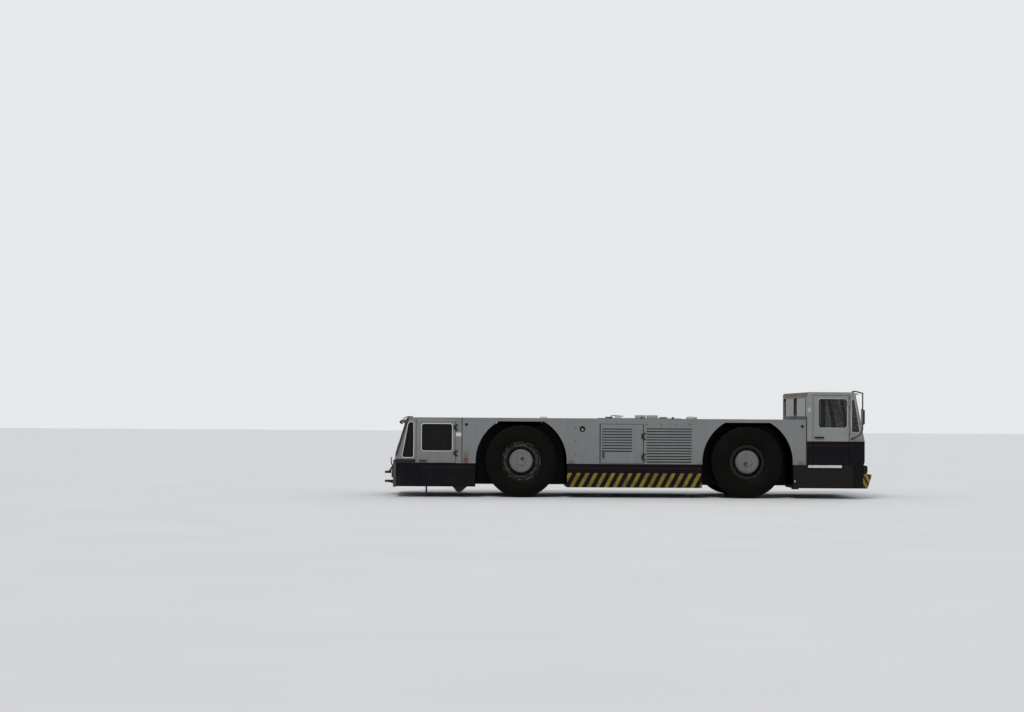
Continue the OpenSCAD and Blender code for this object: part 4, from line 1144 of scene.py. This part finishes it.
def inflated(piece, cap, pressure=4.0, frames=20):
    """Swell a closed cover as a filled cushion, with no point moving further than cap."""
    apply_modifier(piece, "REMESH", mode="VOXEL", voxel_size=0.008)
    cloth = piece.modifiers.new("cover", "CLOTH")
    cloth.settings.use_pressure = True
    cloth.settings.uniform_pressure_force = pressure
    cloth.settings.effector_weights.gravity = 0
    scene = bpy.context.scene
    for number in range(1, frames + 1):
        scene.frame_set(number)
    swollen = piece.evaluated_get(bpy.context.evaluated_depsgraph_get())
    for vertex, moved in zip(piece.data.vertices, swollen.data.vertices):
        shift = moved.co - vertex.co
        if shift.length > cap:
            shift = shift.normalized() * cap
        vertex.co = vertex.co + shift
    piece.modifiers.remove(cloth)
    scene.frame_set(1)
    return apply_modifier(piece, "SUBSURF", levels=1, render_levels=1)


def channelled(piece, axis, seams, face_axis, face_at, depth=0.007, width=0.013):
    """Sink sewn channels into the face that looks along face_axis, one at each value of seams."""
    for vertex in piece.data.vertices:
        near = min(abs(vertex.co[axis] - seam) for seam in seams)
        share = max(0.0, min(1.0, (vertex.co[face_axis] - face_at) / 0.02))
        vertex.co[face_axis] -= share * depth * math.exp(-((near / width) ** 2))


def seat_cushion():
    """The cushion of the raised cab's right seat, with its front edge rolled down."""
    cushion = block((HIGH_SEAT_X, -SEAT_Y, CUSHION_Z), (0.452, 0.472, 0.084))
    edit(cushion)
    pick_edges(cushion, lambda a, b: min(a.x, b.x) > HIGH_SEAT_X and min(a.z, b.z) > CUSHION_Z)
    bpy.ops.mesh.bevel(offset=0.05, segments=6)
    stop_editing()
    rounded_edges(cushion, 0.022, 4)
    inflated(cushion, 0.013)
    channelled(cushion, 1, [-SEAT_Y - 0.14, -SEAT_Y + 0.14], 2, 1.075)
    channelled(cushion, 0, [4.02, 4.16], 2, 1.075, 0.005)
    return smooth(cushion, 180)


def seat_back():
    """The back rest of the raised cab's right seat, narrower at its head."""
    rest = block((3.793, -SEAT_Y, BACK_Z), (0.084, 0.45, 0.53))
    tapered(rest, "+z", (0.8, 0.82, 1), (3.78, -SEAT_Y, BACK_TOP_Z))
    rounded_edges(rest, 0.026, 4)
    inflated(rest, 0.013)
    channelled(rest, 2, [BACK_Z - 0.14, BACK_Z, BACK_Z + 0.14], 0, 3.81)
    return smooth(rest, 180)


def seat_stand():
    """A pedestal with a rubber bellows and a top plate."""
    stand = block((HIGH_SEAT_X, -SEAT_Y, 0.706), (0.29, 0.29, 0.032))
    edit(stand)
    for rise, grow in BELLOWS:
        pick_faces(stand, facing("+z"))
        bpy.ops.mesh.extrude_region_move(TRANSFORM_OT_translate={"value": (0, 0, rise)})
        bpy.ops.transform.resize(value=(grow, grow, 1), center_override=(HIGH_SEAT_X, -SEAT_Y, 0))
    stop_editing()
    return rounded_edges(stand, 0.005)


def shortened(stand):
    edit(stand)
    pick_faces(stand, lambda middle, normal: middle.z < 0.73)
    bpy.ops.transform.translate(value=(0, 0, STAND_CUT))
    stop_editing()


def seats():
    """The raised cab's right seat is made first, then turned about and lowered for the low cab."""
    there = Matrix.Translation((HIGH_SEAT_X, -SEAT_Y, 0))
    turned_about = there @ Matrix.Rotation(math.pi, 4, "Z") @ there.inverted()
    to_low_cab = Matrix.Translation((LOW_SEAT_X - HIGH_SEAT_X, 0, -SEAT_DROP))
    for part, piece, finish in (
        ("seat_cushion", seat_cushion(), "seat cloth"),
        ("seat_back", seat_back(), "seat cloth"),
        ("seat_stand", seat_stand(), "console"),
    ):
        low = place(copied(piece), turned_about)
        if part == "seat_stand":
            shortened(low)
        place(low, to_low_cab)
        for one, cab in ((piece, "high"), (low, "low")):
            for seat_piece in pair(one, f"{part}_{cab}", finish):
                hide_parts("seats")
                finish == "seat cloth"


# Trim on the side plates and cabs

def bolt_rows():
    """Bolt heads over the grille and down the plate behind the filler."""
    over_grille = [(0.379 + 0.2927 * i, 1.501) for i in range(4)]
    behind_filler = [(-1.075, z) for z in (1.428, 1.154, 0.881)]
    (first_x, first_z), *others = over_grille + behind_filler
    head = drum((first_x, -SIDE_Y, first_z), "-y", 0.013, 0.007, 6)
    rounded_edges(head, 0.002)
    repeated(head, [(x - first_x, 0, z - first_z) for x, z in others])
    pair(smooth(head), "bolt_row", "bare bolt")


# Name, from and to along X, lower and upper edge, finish
PLATES = [
    ("low_plate", -3.511, -3.40, 1.234, 1.311, "white paint"),
    ("high_plate", 3.668, 3.735, 1.775, 1.862, "plate grey"),
]
PLATE_PROUD = 0.003


def plates():
    """Bare plates with turned edges on the side walls, sunk half a millimetre into them."""
    for name, start, stop, low, high, finish in PLATES:
        middle = ((start + stop) / 2, -SIDE_Y - PLATE_PROUD / 2 + 0.0005, (low + high) / 2)
        piece = block(middle, (stop - start, PLATE_PROUD + 0.001, high - low))
        pair(rounded_edges(piece, PLATE_PROUD * 0.4), name, finish)


# Lamps: a bezel with a ribbed dome

# Name, X, Y and Z of the lamp's foot, its radius, and where it looks
LAMPS = [
    ("low_head", -4.78, 1.18, 0.48, 0.09, "-x"), ("low_work", -4.78, 0.96, 0.48, 0.06, "-x"),
    ("high_head", HIGH_FRONT_X, 1.18, 0.93, 0.09, "+x"), ("high_work", HIGH_FRONT_X, 0.96, 0.93, 0.06, "+x"),
]


def lamp_dome(x, y, z, radius, way):
    dome = drum((x + sign(way) * 0.027, -y, z), way, radius - 0.012, 0.010, 40)
    edit(dome)
    for shrink, rise in ((0.014, 0.005), (0.016, 0.003), (0.016, 0.001)):
        pick_faces(dome, lambda middle, normal: normal.x * sign(way) > 0.98 and abs(middle.y + y) < 0.001)
        bpy.ops.mesh.inset(thickness=shrink * radius / 0.09, depth=rise)
    stop_editing()
    return smooth(dome, 60)


def bezel(x, y, z, radius, way):
    ring = drum((x + sign(way) * 0.001, -y, z), way, radius + 0.006, 0.034, 40)
    inset_faces(ring, way, (0.016, 0), (0.001, -0.012))
    rounded_edges(ring, 0.003)
    return smooth(ring)


def lamp_parts():
    for name, *lamp in LAMPS:
        pair(lamp_dome(*lamp), f"{name}_lens", "lens glass")
        pair(bezel(*lamp), f"{name}_bezel", "black rubber")


# Mirrors: glasses and the shells behind them

TALL_MIRROR_Y = -1.65
TALL_MIRROR_Z = 1.675
SMALL_MIRROR_Y = -1.58
SMALL_MIRROR_Z = 1.52


def mirror_glasses():
    """The tall glasses look back from the raised cab, the small round ones from the low cab."""
    tall = block((4.7445, TALL_MIRROR_Y, TALL_MIRROR_Z), (0.003, 0.150, 0.31))
    inset_faces(tall, "-x", (0.006, -0.001))
    pair(rounded_edges(tall, 0.001), "tall_mirror_glass", "mirror glass")
    small = drum((-4.5885, SMALL_MIRROR_Y, SMALL_MIRROR_Z), "+x", 0.040, 0.003, 40)
    inset_faces(small, "+x", (0.005, -0.001))
    pair(small, "small_mirror_glass", "mirror glass")


def mirror_housings():
    """A moulded back for the tall mirrors, and a bowl for the small round ones."""
    tall = block((4.783, TALL_MIRROR_Y, TALL_MIRROR_Z), (0.040, 0.166, 0.322))
    tapered(tall, "+x", (1, 0.75, 0.86), (4.803, TALL_MIRROR_Y, TALL_MIRROR_Z))
    rounded_edges(tall, 0.010, 3)
    pair(smooth(tall), "tall_mirror_back", "mirror shell")
    bowl = drum((-4.612, SMALL_MIRROR_Y, SMALL_MIRROR_Z), "-x", 0.0455, 0.040, 32)
    tapered(bowl, "-x", (1, 0.4, 0.4), (-4.652, SMALL_MIRROR_Y, SMALL_MIRROR_Z))
    pair(smooth(bowl), "small_mirror_bowl", "mirror shell")


# Wipers on the windscreens

def wiper(where, foot, length, lean):
    """A parked wiper: a spindle cap, a flat arm and a rubber blade, on a leaning screen."""
    cap = drum((foot[0], foot[1], 0), "+z", 0.022, 0.030, 24)
    rounded_edges(cap, 0.004)
    arm = block((length * 0.5, 0, 0.026), (length, 0.016, 0.006))
    tapered(arm, "+x", (1, 0.5, 0.8), (length, 0, 0.026))
    blade = block((length, 0, 0.017), (length * 0.95, 0.012, 0.012))
    inset_faces(blade, "+z", (0.003, 0.005))
    turned = Matrix.Translation((foot[0], foot[1], 0)) @ Matrix.Rotation(lean, 4, "Z")
    place(arm, turned)
    place(blade, turned)
    wiper_piece = joined([cap, arm, blade])
    rounded_edges(wiper_piece, 0.0015)
    return place(smooth(wiper_piece), where)


# Cab, windscreen, the spindle's place on it, and the parked arm's lean
WIPERS = [("low", LOW_FRONT, (0.25, 0.022), 0.32), ("high", HIGH_FRONT, (0.25, 0.02), 0.36)]


def wipers():
    for cab, where, foot, lean in WIPERS:
        first = wiper(where, foot, 0.42, lean)
        side, other = ("left", "right") if first.data.vertices[0].co.y > 0 else ("right", "left")
        finished(mirrored(first), f"{cab}_wiper_{other}", "black rubber", "chassis")
        finished(first, f"{cab}_wiper_{side}", "black rubber", "chassis")


# Deck fittings

AIR_CAP_X = 1.408
AIR_CAP_Y = -0.5
TOGGLE_X = -0.30
TOGGLE_Y = -0.632
TOGGLE_PITCH = 0.65


def deck_details():
    """Toggles along the engine hatch's edge, and a steel band round the air cap."""
    band_ring = drum((AIR_CAP_X, AIR_CAP_Y, DECK_Z + 0.012), "+z", 0.1145, 0.014, 48)
    edit(band_ring)
    pick_faces(band_ring, lambda middle, normal: abs(normal.z) > 0.9)
    bpy.ops.mesh.inset(thickness=0.004)
    stop_editing()
    rounded_edges(band_ring, 0.002)
    finished(smooth(band_ring), "air_cap_band", "steel", "chassis")
    toggle = block((TOGGLE_X, TOGGLE_Y, DECK_Z + 0.016), (0.05, 0.05, 0.02))
    edit(toggle)
    pick_faces(toggle, facing("+z"))
    bpy.ops.mesh.inset(thickness=0.008)
    bpy.ops.mesh.extrude_region_move(TRANSFORM_OT_translate={"value": (0, 0, 0.012)})
    stop_editing()
    rounded_edges(toggle, 0.002)
    repeated(toggle, [(TOGGLE_PITCH, 0, 0), (2 * TOGGLE_PITCH, 0, 0)])
    finished(smooth(toggle), "hatch_toggles", "bare bolt", "engine_hatch")


# Forms drawn as a side section: screen edges, brackets, rails, bumper halves, guards and a deck wedge

def side_section(outline, near, far):
    """A closed section drawn in X and Z, stood at y = -near and drawn out to y = -far."""
    clear_selection()
    bpy.ops.mesh.primitive_circle_add(vertices=len(outline), radius=1, fill_type="NGON")
    piece = bpy.context.object
    for vertex, (x, z) in zip(piece.data.vertices, outline):
        vertex.co = (x, -near, z)
    edit(piece)
    bpy.ops.mesh.extrude_region_move(TRANSFORM_OT_translate={"value": (0, near - far, 0)})
    bpy.ops.mesh.select_all(action="SELECT")
    bpy.ops.mesh.normals_make_consistent(inside=False)
    stop_editing()
    return piece


BUMPER = [(0, 0.215), (0.098, 0.215), (0.180, 0.470), (0.180, 0.505), (0, 0.505)]
GUARD = [(0, 0.507), (0.070, 0.507), (0.100, 0.550), (0.100, 0.660), (0.075, 0.685), (0, 0.685)]
WEDGE = [(0, 0), (0.130, 0), (0.165, 0.030), (0.200, 0.044), (0.200, 0.062), (0.045, 0.062)]
WEDGE_X = -0.25
SCREEN_EDGE = [
    (LOW_FRONT_X, LOW_SILL_Z), (LOW_FRONT_X + 0.040, LOW_SILL_Z),
    (LOW_FRONT_X + LOW_LEAN + 0.040, DECK_Z - 0.01), (LOW_FRONT_X + LOW_LEAN, DECK_Z - 0.01),
]
STEP_BRACKET = [(-3.572, 0.2145), (-3.480, 0.1060), (-3.400, 0.1060), (-3.280, 0.2145)]
STEP_RAIL = [(0.035, 0.635), (0.723, 0.635), (0.723, 0.687), (0.035, 0.687)]
TIE_BRACKET = [(3.353, 0.193), (3.488, 0.193), (3.488, 0.2145), (3.353, 0.2145)]

# Name, section, where its X starts, near and far side, finish
SECTIONS = [
    ("low_screen_edge", SCREEN_EDGE, 0, (1.4995, 1.5045), "black rubber"),
    ("low_step_bracket", STEP_BRACKET, 0, (1.330, 1.490), "raised base"),
    ("step_rail", STEP_RAIL, HIGH_REAR_X, (1.4955, 1.526), "white paint"),
    ("tie_bracket", TIE_BRACKET, 0, (1.400, 1.495), "raised base"),
    ("front_bumper", BUMPER, HIGH_BOX_X + 0.0005, (0.340, 1.480), "bumper stripes"),
    ("front_guard", GUARD, HIGH_BOX_X + 0.0005, (1.030, 1.470), "raised base"),
]


def end_forms():
    """Edges, brackets, bumper halves and guards; the step brackets and rails stand for the CAD steps."""
    for name, outline, start, (near, far), finish in SECTIONS:
        piece = side_section([(start + x, z) for x, z in outline], near, far)
        for one in pair(rounded_edges(piece, 0.0015), name, finish):
            if name in ("low_step_bracket", "step_rail"):
                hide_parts("steps")
    wedge = side_section([(WEDGE_X + x, DECK_Z + 0.0005 + z) for x, z in WEDGE], 0.760, 0.900)
    finished(rounded_edges(wedge, 0.004), "deck_wedge", "white paint", "chassis")


def tie_downs():
    """A pale eye on each side of the raised cab's base."""
    eye = drum((3.409, -1.4955, 0.357), "-y", 0.016, 0.0045, 20)
    pair(rounded_edges(eye, 0.0015), "tie_down", "white paint")


def arch_walls():
    """Walls that close each arch over the frame plates."""
    for end, axle_x in (("front", FRONT_AXLE_X), ("rear", REAR_AXLE_X)):
        pair(block((axle_x, -0.535, 1.500), (0.90, 0.006, 0.085)), f"arch_wall_{end}", "arch black")


# Dashboards

def dials():
    """A hooded panel with three dials in front of each steering wheel."""
    for cab, x, z, way in (("low", -4.555, 0.823, "+x"), ("high", 4.69, 1.158, "-x")):
        back = x - sign(way) * 0.045
        panel = block((x, -SEAT_Y, z + 0.055), (0.09, 0.42, 0.11))
        tapered(panel, "+z", (0.55, 0.92, 1), (back, -SEAT_Y, 0))
        inset_faces(panel, way, (0.012, -0.008))
        rounded_edges(panel, 0.003)
        finished(smooth(panel), f"{cab}_dash_panel", "console", "chassis")
        ring = drum((x + sign(way) * 0.030, -SEAT_Y, z + 0.052), way, 0.036, 0.008, 32)
        inset_faces(ring, way, (0.004, -0.003))
        repeated(ring, [(0, -0.105, 0), (0, 0.105, 0)])
        finished(smooth(ring), f"{cab}_dials", "dial", "chassis")


window_rubbers()
wheels()
seats()
bolt_rows()
plates()
lamp_parts()
mirror_glasses()
wipers()
deck_details()
end_forms()
mirror_housings()
tie_downs()
arch_walls()
dials()


# Floor and light

def studio():
    """A wide pale floor, pale surroundings that glass shows too, and two suns."""
    clear_selection()
    bpy.ops.mesh.primitive_plane_add(size=400, location=(0, 0, 0))
    floor = bpy.context.object
    bpy.ops.object.transform_apply(location=True, rotation=True, scale=True)
    floor.name = "floor"
    material, shader = new_material("floor", Roughness=0.9)
    where = places(shader)[0]
    tint = where.noise(0.4, 3.0).mix((0.60, 0.60, 0.60, 1), (0.66, 0.66, 0.66, 1))
    dress(shader, Base_Color=tint)
    floor.data.materials.append(material)
    world = bpy.data.worlds.new("studio")
    world.use_nodes = True
    bpy.context.scene.world = world
    tree = world.node_tree
    background = tree.nodes["Background"]
    dress(background, Color=(0.93, 0.96, 1.0, 1), Strength=0.62)
    seen = tree.nodes.new("ShaderNodeBackground")
    dress(seen, Color=(0.80, 0.81, 0.82, 1), Strength=1.0)
    path = tree.nodes.new("ShaderNodeLightPath")
    seen_straight = Value(tree, path.outputs["Is Camera Ray"])
    seen_through_glass = Value(tree, path.outputs["Is Transmission Ray"])
    choice = tree.nodes.new("ShaderNodeMixShader")
    plug(choice.inputs[0], seen_straight.at_least(seen_through_glass))
    tree.links.new(background.outputs[0], choice.inputs[1])
    tree.links.new(seen.outputs[0], choice.inputs[2])
    tree.links.new(choice.outputs[0], tree.nodes["World Output"].inputs["Surface"])
    for name, angles, strength, size in (
        ("key", (math.radians(42), 0, math.radians(-24)), 1.5, 22),
        ("fill", (math.radians(58), 0, math.radians(150)), 0.5, 40),
    ):
        data = bpy.data.lights.new(name, "SUN")
        data.energy = strength
        data.angle = math.radians(size)
        sun = bpy.data.objects.new(name, data)
        sun.rotation_euler = angles
        bpy.context.scene.collection.objects.link(sun)


studio()
bpy.context.scene.view_settings.view_transform = "Standard"
